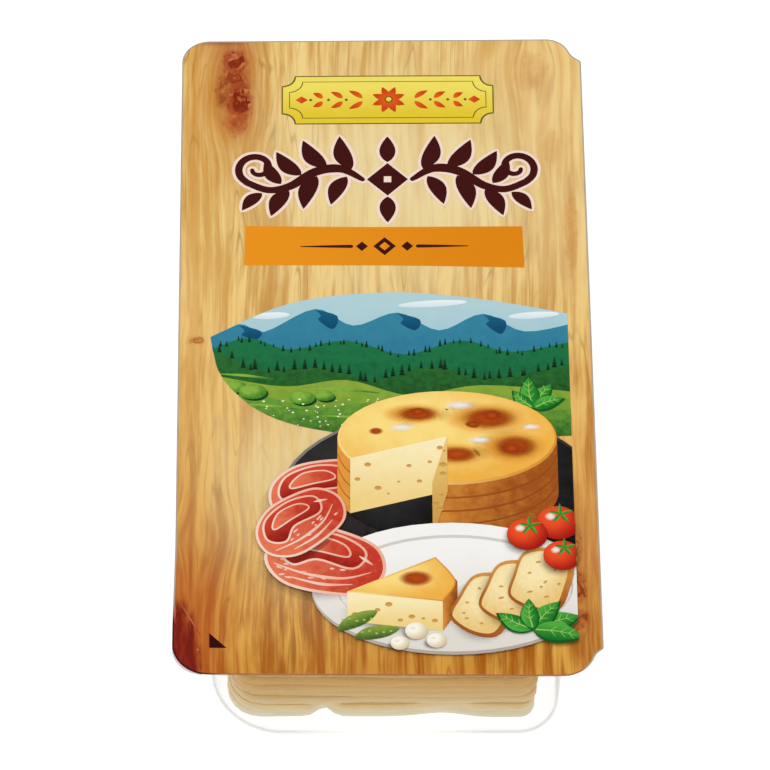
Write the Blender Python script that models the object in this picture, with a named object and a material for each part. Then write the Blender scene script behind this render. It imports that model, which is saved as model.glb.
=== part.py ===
"""Retail pack of sliced raclette cheese: a clear thermoformed tray with a wide
flange, a printed film sealed over it, and two piles of slices on the tray's floor.

Metres, +Z up. The origin is under the middle of the pack, on the surface it lies
on. +Y runs to the far end of the pack and +X to its right, where the flange was
cut with a wider strip. Shapes are drawn about the middle of the straight outline, and
each piece is moved as it is made, so that the origin is under the askew outline.
"""

import math
import random

import bmesh
import bpy
from mathutils import Matrix, Vector

MM = 0.001

# Whole pack
PACK_WIDTH = 130.0 * MM
PACK_LENGTH = 249.0 * MM
PACK_HEIGHT = 44.2 * MM
PIECE_GAP = 0.3 * MM

# Tray: one formed sheet
SHEET = 0.5 * MM
LID_THICKNESS = 0.3 * MM
SIDE_FLANGE = 9.8 * MM
END_FLANGE = 4.0 * MM
DRAFT = math.radians(2.0)
BASE_FILLET = 5.8 * MM
RIM_FILLET = 1.4 * MM
POCKET_CORNER = 14.0 * MM
POCKET_CORNER_PEEL = 24.0 * MM
POCKET_SHIFT_X = -0.45 * MM

# Flange and lid outline, cut a little askew: both long sides lean to the right at
# the near end, and both ends reach out at their right and in at their left. The peel
# corner spreads out between two places, which are shares of the half length.
CORNER_LEFT = 8.8 * MM
CORNER_PEEL = 9.2 * MM
LID_PEEL_EXTRA = 2.0 * MM
RIGHT_LEAN = 1.25 * MM
LEFT_LEAN = 0.4 * MM
END_LEAN = 0.42 * MM
PEEL_SPREAD = 0.6 * MM
SPREAD_FROM = -0.56
SPREAD_TO = -0.90

# Cheese: a nick is its place along the near edge, its half width and its depth
SLICES_PER_PILE = 8
SLICE_THICKNESS = 3.3 * MM
SLICE_WIDTH = 94.6 * MM
SLICE_LENGTH = 107.0 * MM
SLICE_CORNER = 4.5 * MM
SLICE_CORNER_PEEL = 10.4 * MM
SLICE_BULGE = 0.25 * MM
SLICE_WAVE = 0.35 * MM
SLICE_DRIFT = 0.55 * MM
SLICE_TURN = math.radians(0.35)
NICKED_SLICES = 2
NICKS = [(-17.6 * MM, 2.9 * MM, 3.4 * MM), (19.3 * MM, 8.5 * MM, 1.5 * MM)]
END_CLEARANCE = 9.7 * MM
PILE_SPACING = 5.0 * MM
PILE_SHIFT_X = -1.0 * MM

# Smoothness of the faceted shapes
CORNER_STEPS = 12
BASE_STEPS = 6
RIM_STEPS = 4
TIP_STEPS = 4
SPREAD_STEPS = 6
SLICE_CORNER_STEPS = 5
SLICE_SIDE_STEPS = 8
NICKED_SIDE_STEPS = 32
SMOOTH_LIMIT = math.radians(35.0)

FLANGE_TOP = PACK_HEIGHT - LID_THICKNESS - PIECE_GAP
CLEAR_PLASTIC = ("clear_plastic", (0.93, 0.95, 0.96, 1.0), 0.08)
PRINTED_FILM = ("printed_film", (0.72, 0.45, 0.17, 1.0), 0.32)
CHEESE = ("cheese", (0.72, 0.56, 0.30, 1.0), 0.45)


class FlaredCorner:
    """A right-hand corner: a round cut that runs out into the wider side strip."""

    def __init__(self, radius, turn_deg, flare_radius, strip_deg, run, tip_radius):
        self.radius = radius
        self.turn = math.radians(turn_deg)
        self.flare_radius = flare_radius
        self.strip = math.radians(strip_deg)
        self.run = run
        self.tip_radius = tip_radius

    def offsets(self):
        """Points from the end edge to the side edge, from where the cut starts."""
        points = [Vector((0.0, 0.0))]
        turn_arc(points, self.radius, 0.0, self.turn, CORNER_STEPS)
        turn_arc(points, self.flare_radius, self.turn, self.strip, TIP_STEPS)
        heading = Vector((math.cos(self.strip), math.sin(self.strip)))
        points.append(points[-1] + heading * self.run)
        turn_arc(points, self.tip_radius, self.strip, math.pi / 2, TIP_STEPS)
        return points


NEAR_RIGHT = FlaredCorner(10.4 * MM, 70.0, 5.0 * MM, 39.5, 1.1 * MM, 1.4 * MM)
FAR_RIGHT = FlaredCorner(8.0 * MM, 68.5, 6.6 * MM, 34.5, 1.1 * MM, 1.6 * MM)


def turn_arc(points, radius, start, end, steps):
    """Adds an arc that goes on from the last point while its heading turns."""
    origin = points[-1]
    side = 1.0 if end > start else -1.0
    for step in range(1, steps + 1):
        heading = start + (end - start) * step / steps
        across = math.sin(heading) - math.sin(start)
        along = math.cos(start) - math.cos(heading)
        points.append(origin + Vector((across, along)) * radius * side)


def quarter(centre, radius, start_deg, steps):
    """Points of a quarter circle, counter-clockwise from start_deg."""
    if radius <= 0.0:
        return [centre.copy()]
    angles = (math.radians(start_deg + 90.0 * step / steps) for step in range(steps + 1))
    return [centre + Vector((math.cos(a), math.sin(a))) * radius for a in angles]


def askew(point):
    """Moves a point of a straight outline to where the askew cut leaves it."""
    across = point.x / (PACK_WIDTH / 2)
    along = point.y / (PACK_LENGTH / 2)
    lean = RIGHT_LEAN if across > 0.0 else LEFT_LEAN
    share = min(max((along - SPREAD_FROM) / (SPREAD_TO - SPREAD_FROM), 0.0), 1.0)
    spread = PEEL_SPREAD * share * share * (3.0 - 2.0 * share) * min(across, 0.0)
    shift_x = spread - lean * abs(across) * along
    return point + Vector((shift_x, END_LEAN * across * along))


def flange_outline(peel_extra):
    """Outline of the flange or the lid, counter-clockwise from the peel corner."""
    half_x = PACK_WIDTH / 2
    half_y = PACK_LENGTH / 2
    peel = CORNER_PEEL + peel_extra
    outline = quarter(Vector((-half_x + peel, -half_y + peel)), peel, 180.0, CORNER_STEPS)
    near = NEAR_RIGHT.offsets()
    start = Vector((half_x, -half_y)) - Vector((near[-1].x, 0.0))
    outline += [start + offset for offset in near]
    far = FAR_RIGHT.offsets()
    start = Vector((half_x, half_y)) - Vector((far[-1].x, 0.0))
    outline += [start + Vector((offset.x, -offset.y)) for offset in reversed(far)]
    left = CORNER_LEFT
    outline += quarter(Vector((-half_x + left, half_y - left)), left, 90.0, CORNER_STEPS)
    spread = SPREAD_TO - SPREAD_FROM
    shares = [SPREAD_FROM + spread * step / SPREAD_STEPS for step in range(SPREAD_STEPS + 1)]
    outline += [Vector((-half_x, share * half_y)) for share in shares]
    return [askew(point) for point in outline]


def to_origin():
    """The move that puts the middle of the whole outline on the origin."""
    outline = flange_outline(0.0)
    across = [point.x for point in outline]
    along = [point.y for point in outline]
    middle_x = (min(across) + max(across)) / 2
    return Vector((-middle_x, -(min(along) + max(along)) / 2, 0.0))


def pocket_outline(inset):
    """Outline of the pocket, offset inwards, counter-clockwise from the peel corner."""
    half_x = PACK_WIDTH / 2 - SIDE_FLANGE - inset
    half_y = PACK_LENGTH / 2 - END_FLANGE - inset
    corners = [
        (-1, -1, POCKET_CORNER_PEEL, 180.0),
        (1, -1, POCKET_CORNER, 270.0),
        (1, 1, POCKET_CORNER, 0.0),
        (-1, 1, POCKET_CORNER, 90.0),
    ]
    outline = []
    for side_x, side_y, radius, start_deg in corners:
        reach = radius - inset
        x = side_x * (half_x - reach) + POCKET_SHIFT_X
        y = side_y * (half_y - reach)
        outline += quarter(Vector((x, y)), reach, start_deg, CORNER_STEPS)
    return outline


def wall_profile(depth):
    """(inset, height) pairs up one face of the tray wall, depth into the sheet."""
    wall_run = math.tan(DRAFT)
    base_radius = BASE_FILLET - depth
    base_inset = (FLANGE_TOP - BASE_FILLET) * wall_run + BASE_FILLET / math.cos(DRAFT)
    rim_radius = RIM_FILLET + depth
    rim_height = FLANGE_TOP - SHEET - RIM_FILLET
    rim_inset = (FLANGE_TOP - rim_height) * wall_run - RIM_FILLET / math.cos(DRAFT)
    profile = []
    for step in range(BASE_STEPS + 1):
        angle = -math.pi / 2 + (math.pi / 2 - DRAFT) * step / BASE_STEPS
        inset = base_inset - base_radius * math.cos(angle)
        profile.append((inset, BASE_FILLET + base_radius * math.sin(angle)))
    for step in range(RIM_STEPS + 1):
        angle = DRAFT + (math.pi / 2 - DRAFT) * step / RIM_STEPS
        inset = rim_inset + rim_radius * math.cos(angle)
        profile.append((inset, rim_height + rim_radius * math.sin(angle)))
    return profile


def add_ring(bm, outline, height):
    """A closed loop of vertices at one height."""
    return [bm.verts.new((point.x, point.y, height)) for point in outline]


def bridge(bm, lower, upper):
    """Quads between two rings with as many points, facing out of the lower ring."""
    count = len(lower)
    for i in range(count):
        j = (i + 1) % count
        bm.faces.new((lower[i], lower[j], upper[j], upper[i]))


def fill_between(bm, outer, inner):
    """Flat faces between two rings at the same height."""
    edges = []
    for ring in (outer, inner):
        for i, vert in enumerate(ring):
            other = ring[(i + 1) % len(ring)]
            edges.append(bm.edges.get((vert, other)) or bm.edges.new((vert, other)))
    bmesh.ops.triangle_fill(bm, use_beauty=True, edges=edges)


def make_object(name, bm, finish):
    """Turns a finished bmesh into an object that has its own material."""
    bmesh.ops.translate(bm, vec=to_origin(), verts=bm.verts)
    bmesh.ops.recalc_face_normals(bm, faces=bm.faces)
    mesh = bpy.data.meshes.new(name)
    bm.to_mesh(mesh)
    bm.free()
    mesh.shade_smooth()
    mesh.set_sharp_from_angle(angle=SMOOTH_LIMIT)
    label, colour, roughness = finish
    material = bpy.data.materials.get(label) or bpy.data.materials.new(label)
    material.use_nodes = True
    shader = material.node_tree.nodes["Principled BSDF"]
    shader.inputs["Base Color"].default_value = colour
    shader.inputs["Roughness"].default_value = roughness
    shader.inputs["Metallic"].default_value = 0.0
    mesh.materials.append(material)
    piece = bpy.data.objects.new(name, mesh)
    bpy.context.scene.collection.objects.link(piece)
    return piece


def make_tray():
    """The clear tray: a formed pocket with a flat flange round its mouth."""
    bm = bmesh.new()
    outside = [add_ring(bm, pocket_outline(i), z) for i, z in wall_profile(0.0)]
    inside = [add_ring(bm, pocket_outline(i), z) for i, z in wall_profile(SHEET)]
    for rings in (outside, inside):
        for lower, upper in zip(rings, rings[1:]):
            bridge(bm, lower, upper)
        bm.faces.new(rings[0])
    under = add_ring(bm, flange_outline(0.0), FLANGE_TOP - SHEET)
    over = add_ring(bm, flange_outline(0.0), FLANGE_TOP)
    bridge(bm, under, over)
    fill_between(bm, under, outside[-1])
    fill_between(bm, over, inside[-1])
    return make_object("tray", bm, CLEAR_PLASTIC)


def make_lid():
    """The printed film: a thin flat sheet over the whole flange."""
    bm = bmesh.new()
    outline = flange_outline(LID_PEEL_EXTRA)
    under = add_ring(bm, outline, PACK_HEIGHT - LID_THICKNESS)
    over = add_ring(bm, outline, PACK_HEIGHT)
    bridge(bm, under, over)
    bm.faces.new(under)
    bm.faces.new(over)
    return make_object("lid_film", bm, PRINTED_FILM)


def nick(point):
    """Sets a point of the near edge back where the edge is nicked or worn."""
    if point.y > SLICE_CORNER - SLICE_LENGTH / 2:
        return point
    back = sum(d * math.exp(-(((point.x - x) / w) ** 2)) for x, w, d in NICKS)
    return point + Vector((0.0, back))


def slice_outline(peel_corner, nicked, draw):
    """Rounded rectangle with slightly wandering edges, about the slice's centre."""
    sides = [
        (-1, -1, peel_corner, 180.0),
        (1, -1, SLICE_CORNER, 270.0),
        (1, 1, SLICE_CORNER, 0.0),
        (-1, 1, SLICE_CORNER, 90.0),
    ]
    corners = []
    for side_x, side_y, radius, start_deg in sides:
        x = side_x * (SLICE_WIDTH / 2 - radius)
        y = side_y * (SLICE_LENGTH / 2 - radius)
        corners.append(quarter(Vector((x, y)), radius, start_deg, SLICE_CORNER_STEPS))
    outline = []
    for corner, following in zip(corners, corners[1:] + corners[:1]):
        run = following[0] - corner[-1]
        near = corner is corners[0]
        count = NICKED_SIDE_STEPS if nicked and near else SLICE_SIDE_STEPS
        outline += corner + [corner[-1] + run * s / count for s in range(1, count)]
    phases = [draw.uniform(0.0, 2 * math.pi) for _ in range(3)]
    wandering = []
    for point in outline:
        angle = math.atan2(point.y, point.x)
        wave = sum(math.sin(angle * k + p) for k, p in zip((2, 5, 9), phases)) / 3
        wandering.append(point + point.normalized() * SLICE_WAVE * wave)
    return [nick(point) for point in wandering] if nicked else wandering


def make_slice(name, centre, bottom, peel_corner, nicked, draw):
    """One slice of cheese, its cut edge bulging a little between its two faces."""
    bm = bmesh.new()
    outline = slice_outline(peel_corner, nicked, draw)
    swollen = [point + point.normalized() * SLICE_BULGE for point in outline]
    rings = [
        add_ring(bm, outline, bottom),
        add_ring(bm, swollen, bottom + SLICE_THICKNESS * 0.3),
        add_ring(bm, swollen, bottom + SLICE_THICKNESS * 0.7),
        add_ring(bm, outline, bottom + SLICE_THICKNESS),
    ]
    for lower, upper in zip(rings, rings[1:]):
        bridge(bm, lower, upper)
    bm.faces.new(rings[0])
    bm.faces.new(rings[-1])
    drift = Vector((draw.uniform(-1, 1), draw.uniform(-1, 1), 0.0)) * SLICE_DRIFT
    turn = Matrix.Rotation(draw.uniform(-1, 1) * SLICE_TURN, 4, "Z")
    bmesh.ops.transform(bm, matrix=Matrix.Translation(centre + drift) @ turn, verts=bm.verts)
    return make_object(name, bm, CHEESE)


def make_piles():
    """Two equal piles end to end on the floor of the tray."""
    draw = random.Random(7)
    near_y = -PACK_LENGTH / 2 + END_FLANGE + END_CLEARANCE + SLICE_LENGTH / 2
    far_y = near_y + SLICE_LENGTH + PILE_SPACING
    pitch = SLICE_THICKNESS + PIECE_GAP
    piles = (("near", near_y, SLICE_CORNER_PEEL), ("far", far_y, SLICE_CORNER))
    for pile, pile_y, peel_corner in piles:
        centre = Vector((PILE_SHIFT_X, pile_y, 0.0))
        for number in range(SLICES_PER_PILE):
            bottom = SHEET + PIECE_GAP + number * pitch
            nicked = pile == "near" and number < NICKED_SLICES
            name = f"slice_{pile}_{number + 1}"
            make_slice(name, centre, bottom, peel_corner, nicked, draw)


def main():
    for old in list(bpy.data.objects):
        bpy.data.objects.remove(old, do_unlink=True)
    make_tray()
    make_lid()
    make_piles()


main()
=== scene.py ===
"""Dressed scene of a retail pack of sliced raclette cheese.

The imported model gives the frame: a clear formed tray, the printed film sealed over
its flange, and two piles of slices inside. This script gives each of them its
finish, prints the film with flat fields of ink, and sets the studio round the pack.
"""

import logging
import math
import random
from dataclasses import dataclass, field
from enum import Enum
from typing import Sequence

import bmesh
import bpy
from mathutils import Matrix, Vector, noise


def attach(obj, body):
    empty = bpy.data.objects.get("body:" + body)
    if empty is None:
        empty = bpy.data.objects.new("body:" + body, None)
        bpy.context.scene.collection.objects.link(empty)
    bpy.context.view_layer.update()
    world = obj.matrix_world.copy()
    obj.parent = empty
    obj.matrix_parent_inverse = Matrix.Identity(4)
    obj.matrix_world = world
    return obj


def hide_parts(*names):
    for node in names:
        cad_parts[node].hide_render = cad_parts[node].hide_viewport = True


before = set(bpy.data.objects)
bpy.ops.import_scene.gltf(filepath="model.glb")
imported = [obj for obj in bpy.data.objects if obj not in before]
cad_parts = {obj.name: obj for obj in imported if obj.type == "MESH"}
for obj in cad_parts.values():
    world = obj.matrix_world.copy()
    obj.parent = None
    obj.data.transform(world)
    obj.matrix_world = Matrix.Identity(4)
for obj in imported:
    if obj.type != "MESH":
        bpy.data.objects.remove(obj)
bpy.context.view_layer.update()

MM = 0.001
BODY = "root"

log = logging.getLogger("pack")

Colour = tuple[float, float, float]
Pair = tuple[float, float]
Outline = list[tuple[float, float]]
Points = tuple[Pair, ...]
Value = "Wire | float"


def srgb(red: float, green: float, blue: float) -> tuple[float, float, float, float]:
    """Turns a display colour of 0 to 255 into the linear colour that shaders use."""
    linear = []
    for channel in (red, green, blue):
        part = channel / 255.0
        linear.append(part / 12.92 if part <= 0.04045 else ((part + 0.055) / 1.055) ** 2.4)
    return (linear[0], linear[1], linear[2], 1.0)


class Wire:
    """A number socket that adds Math nodes when it is used in an expression."""

    def __init__(self, surface: "Surface", socket: bpy.types.NodeSocket) -> None:
        """Args:
            surface: the material that the socket belongs to.
            socket: the output socket to wrap.
        """
        self.surface = surface
        self.socket = socket

    def maths(self, operation: str, *values: "Wire | float") -> "Wire":
        """Adds a Math node.

        Args:
            operation: the node's operation.
            values: its inputs, in order.

        Returns:
            The node's result.
        """
        inputs = dict(enumerate(values))
        made = self.surface.node("ShaderNodeMath", {"operation": operation}, inputs)
        return Wire(self.surface, made.outputs[0])

    def __add__(self, other: "Wire | float") -> "Wire":
        """self + other."""
        return self.maths("ADD", self, other)

    __radd__ = __add__

    def __sub__(self, other: "Wire | float") -> "Wire":
        """self - other."""
        return self.maths("SUBTRACT", self, other)

    def __rsub__(self, other: "Wire | float") -> "Wire":
        """other - self."""
        return self.maths("SUBTRACT", other, self)

    def __mul__(self, other: "Wire | float") -> "Wire":
        """self * other."""
        return self.maths("MULTIPLY", self, other)

    __rmul__ = __mul__

    def __truediv__(self, other: "Wire | float") -> "Wire":
        """self / other."""
        return self.maths("DIVIDE", self, other)

    def __pow__(self, other: "Wire | float") -> "Wire":
        """self to the power of other."""
        return self.maths("POWER", self, other)

    def sized(self) -> "Wire":
        """The value without its sign."""
        return self.maths("ABSOLUTE", self)

    def rounded_down(self) -> "Wire":
        """The whole number below the value."""
        return self.maths("FLOOR", self)

    def root(self) -> "Wire":
        """The square root."""
        return self.maths("SQRT", self)

    def bell(self) -> "Wire":
        """Falls from 1 towards 0 as the value, a squared distance, grows."""
        return self.maths("EXPONENT", self * -1.0)

    def clamped(self) -> "Wire":
        """The value held between 0 and 1."""
        limits = {"Value": self, "Min": 0.0, "Max": 1.0}
        return Wire(self.surface, self.surface.node("ShaderNodeClamp", {}, limits).outputs[0])

    def step(self, low: float, high: float) -> "Wire":
        """A smooth step from 0 at low to 1 at high.

        Args:
            low: where the step starts; it may be above high.
            high: where the step ends.

        Returns:
            The step.
        """
        flip = low > high
        first, last = (high, low) if flip else (low, high)
        ends = (1.0, 0.0) if flip else (0.0, 1.0)
        settings = {"interpolation_type": "SMOOTHSTEP"}
        inputs = {"Value": self, "From Min": first, "From Max": last, "To Min": ends[0]}
        made = self.surface.node("ShaderNodeMapRange", settings, inputs | {"To Max": ends[1]})
        return Wire(self.surface, made.outputs[0])


class Surface:
    """A node material under construction."""

    def __init__(self, name: str) -> None:
        """Args:
            name: the material's name.
        """
        self.material = bpy.data.materials.new(name)
        self.material.use_nodes = True
        self.tree = self.material.node_tree
        self.shader = self.tree.nodes["Principled BSDF"]

    def node(self, kind: str, settings: dict, inputs: dict) -> bpy.types.Node:
        """Adds a node.

        Args:
            kind: the node's type.
            settings: its properties, which are set first.
            inputs: values, wires or sockets, by the input's name or place.

        Returns:
            The node.
        """
        made = self.tree.nodes.new(kind)
        for key, value in settings.items():
            setattr(made, key, value)
        for key, value in inputs.items():
            self.feed(made.inputs[key], value)
        return made

    def fix(self, constants: dict[str, object]) -> None:
        """Sets constants of the shader, by their inputs' names."""
        for key, value in constants.items():
            self.shader.inputs[key].default_value = value

    def feed(self, socket: bpy.types.NodeSocket, value: object) -> None:
        """Sets or links one input.

        Args:
            socket: the input.
            value: a constant, a Wire or an output socket.
        """
        if isinstance(value, Wire):
            self.tree.links.new(value.socket, socket)
        elif isinstance(value, bpy.types.NodeSocket):
            self.tree.links.new(value, socket)
        else:
            socket.default_value = value

    def place(self) -> tuple[Wire, Wire, Wire]:
        """The point's place on the object, in millimetres, as three wires."""
        coords = self.node("ShaderNodeTexCoord", {}, {})
        scaled = self.node(
            "ShaderNodeVectorMath",
            {"operation": "SCALE"},
            {0: coords.outputs["Object"], "Scale": 1.0 / MM},
        )
        split = self.node("ShaderNodeSeparateXYZ", {}, {0: scaled.outputs[0]})
        return tuple(Wire(self, split.outputs[i]) for i in range(3))

    def map_place(self, layer: str) -> tuple[Wire, Wire]:
        """The point's place on one of the piece's own maps, from -1 to 1 each way."""
        uv = self.node("ShaderNodeUVMap", {"uv_map": layer}, {})
        split = self.node("ShaderNodeSeparateXYZ", {}, {0: uv.outputs[0]})
        u, v = (Wire(self, split.outputs[i]) for i in range(2))
        return u * 2.0 - 1.0, v * 2.0 - 1.0

    def clouds(
        self, x: Value, y: Value, z: Value = 0.0, detail: float = 2.0, rough: float = 0.5
    ) -> Wire:
        """Smooth noise about 0.5, read at a place in units of its own blobs.

        Args:
            x: the place across.
            y: the place along.
            z: the place in height.
            detail: how many finer layers it has.
            rough: how strong the finer layers are.

        Returns:
            The noise.
        """
        at = self.node("ShaderNodeCombineXYZ", {}, {0: x, 1: y, 2: z}).outputs[0]
        inputs = {"Vector": at, "Scale": 1.0, "Detail": detail, "Roughness": rough}
        made = self.node("ShaderNodeTexNoise", {}, inputs)
        return Wire(self, made.outputs["Fac"])

    def blend(self, share: Value, first: object, second: object) -> bpy.types.NodeSocket:
        """Mixes two colours.

        Args:
            share: how much of the second shows.
            first: a colour or a colour socket.
            second: a colour or a colour socket.

        Returns:
            The mixed colour.
        """
        settings = {"data_type": "RGBA", "clamp_factor": True}
        made = self.node("ShaderNodeMix", settings, {0: share, 6: first, 7: second})
        return made.outputs[2]

    def emboss(self, height: Wire, distance: float) -> None:
        """Bends the shader's normal by a height.

        Args:
            height: the height, from 0 to 1.
            distance: what a height of 1 is, in metres.
        """
        bump = self.node("ShaderNodeBump", {}, {"Height": height, "Distance": distance})
        bump.inputs["Strength"].default_value = 1.0
        self.feed(self.shader.inputs["Normal"], bump.outputs[0])


def shares(x: Wire, y: Wire, at: Pair, reach: Pair) -> tuple[Wire, Wire]:
    """How far a place is from a point, across and along, as shares of a reach."""
    return (x - at[0]) / reach[0], (y - at[1]) / reach[1]


def squares(u: Wire, v: Wire) -> Wire:
    """The squared length of a pair of distances."""
    return u * u + v * v


class Shading(Enum):
    """How the two colours of an ink run over one printed field."""

    FLAT = "flat"
    RISING = "rising"
    ACROSS = "across"
    ROUND = "round"


@dataclass(frozen=True)
class Blobs:
    """The blobs of a noise: their size, the height it is read at and its finer layers."""

    wide: float
    tall: float
    height: float
    detail: float = 2.0
    rough: float = 0.5

    def over(self, surface: Surface, x: Wire, y: Wire) -> Wire:
        """The noise at a place of a surface."""
        return surface.clouds(x / self.wide, y / self.tall, self.height, self.detail, self.rough)


@dataclass(frozen=True)
class FilmGloss:
    """The clear face of the printed film, over wood print and ink fields alike."""

    roughness: float = 0.34
    specular: float = 0.05
    waves: Blobs = Blobs(34.0, 54.4, 4.0, 1.0)
    wave_height: float = 0.16 * MM

    def apply(self, surface: Surface) -> None:
        """Gives a printed surface the film's sheen and its slow waves.

        Args:
            surface: the material.
        """
        x, y, _ = surface.place()
        surface.emboss(self.waves.over(surface, x, y), self.wave_height)
        surface.fix({"Roughness": self.roughness, "Specular IOR Level": self.specular})


@dataclass(frozen=True)
class Knot:
    """A knot in the printed wood: its middle, reach and strength, in millimetres."""

    x: float
    y: float
    wide: float
    tall: float
    swirl: float
    stain: float
    tone: Colour


@dataclass(frozen=True)
class Wash:
    """A soft patch of another tone over the printed wood, in millimetres."""

    x: float
    y: float
    wide: float
    tall: float
    share: float
    tone: Colour


KNOTS = (
    Knot(-49.0, 115.4, 4.0, 4.4, 0.40, 1.00, (156, 56, 22)),
    Knot(-47.0, 99.6, 3.8, 9.4, 0.90, 1.00, (148, 46, 12)),
    Knot(-48.8, 109.0, 3.4, 3.2, 0.20, 0.90, (168, 74, 34)),
    Knot(-52.8, 102.6, 1.8, 6.6, 0.30, 0.80, (160, 78, 24)),
    Knot(-48.0, 89.6, 3.6, 4.6, 0.30, 0.66, (180, 86, 38)),
    Knot(-59.6, 2.6, 1.9, 1.3, 0.30, 0.72, (180, 98, 42)),
    Knot(46.8, 111.5, 5.0, 8.0, 0.45, 0.35, (200, 128, 66)),
    Knot(53.5, 80.0, 2.4, 7.0, 0.45, 0.40, (206, 150, 76)),
    Knot(59.0, 46.0, 1.9, 15.0, 0.45, 0.50, (202, 132, 58)),
    Knot(-58.0, -72.0, 6.0, 8.0, 0.60, 0.12, (226, 176, 104)),
    Knot(58.0, -60.0, 2.0, 8.0, 0.40, 0.40, (186, 114, 52)),
    Knot(57.8, -77.0, 2.0, 8.5, 0.40, 0.80, (164, 90, 40)),
    Knot(58.4, -92.0, 2.7, 5.6, 0.40, 0.90, (158, 66, 20)),
    Knot(58.6, -104.0, 2.7, 3.6, 0.40, 0.85, (156, 66, 22)),
)
WASHES = (
    Wash(8.0, 68.0, 44.0, 46.0, 0.95, (236, 216, 162)),
    Wash(-24.0, -50.0, 30.0, 38.0, 0.90, (236, 213, 156)),
    Wash(40.0, 108.0, 30.0, 22.0, 0.40, (234, 198, 130)),
    Wash(-50.0, 105.0, 8.5, 20.0, 0.75, (186, 104, 46)),
    Wash(-57.0, 94.0, 13.0, 32.0, 0.50, (202, 136, 52)),
    Wash(-50.0, 120.5, 9.0, 5.0, 0.50, (178, 90, 42)),
    Wash(-53.0, 124.0, 8.0, 1.6, 0.85, (146, 52, 30)),
    Wash(-60.0, 14.0, 12.0, 46.0, 0.50, (236, 194, 120)),
    Wash(-63.0, -52.0, 6.0, 42.0, 0.35, (206, 142, 60)),
    Wash(4.0, -121.0, 60.0, 8.0, 0.50, (172, 98, 18)),
    Wash(-58.0, -98.0, 12.0, 20.0, 0.50, (188, 102, 30)),
    Wash(-60.2, -84.0, 0.8, 18.0, 0.65, (150, 56, 16)),
    Wash(62.0, -70.0, 7.0, 40.0, 0.55, (214, 150, 84)),
    Wash(58.0, 68.0, 13.0, 62.0, 0.40, (238, 206, 144)),
)


@dataclass(frozen=True)
class WoodPlace:
    """A point of the printed wood: across, along, and across its bent grain."""

    surface: Surface
    x: Wire
    y: Wire
    grain: Wire


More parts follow.
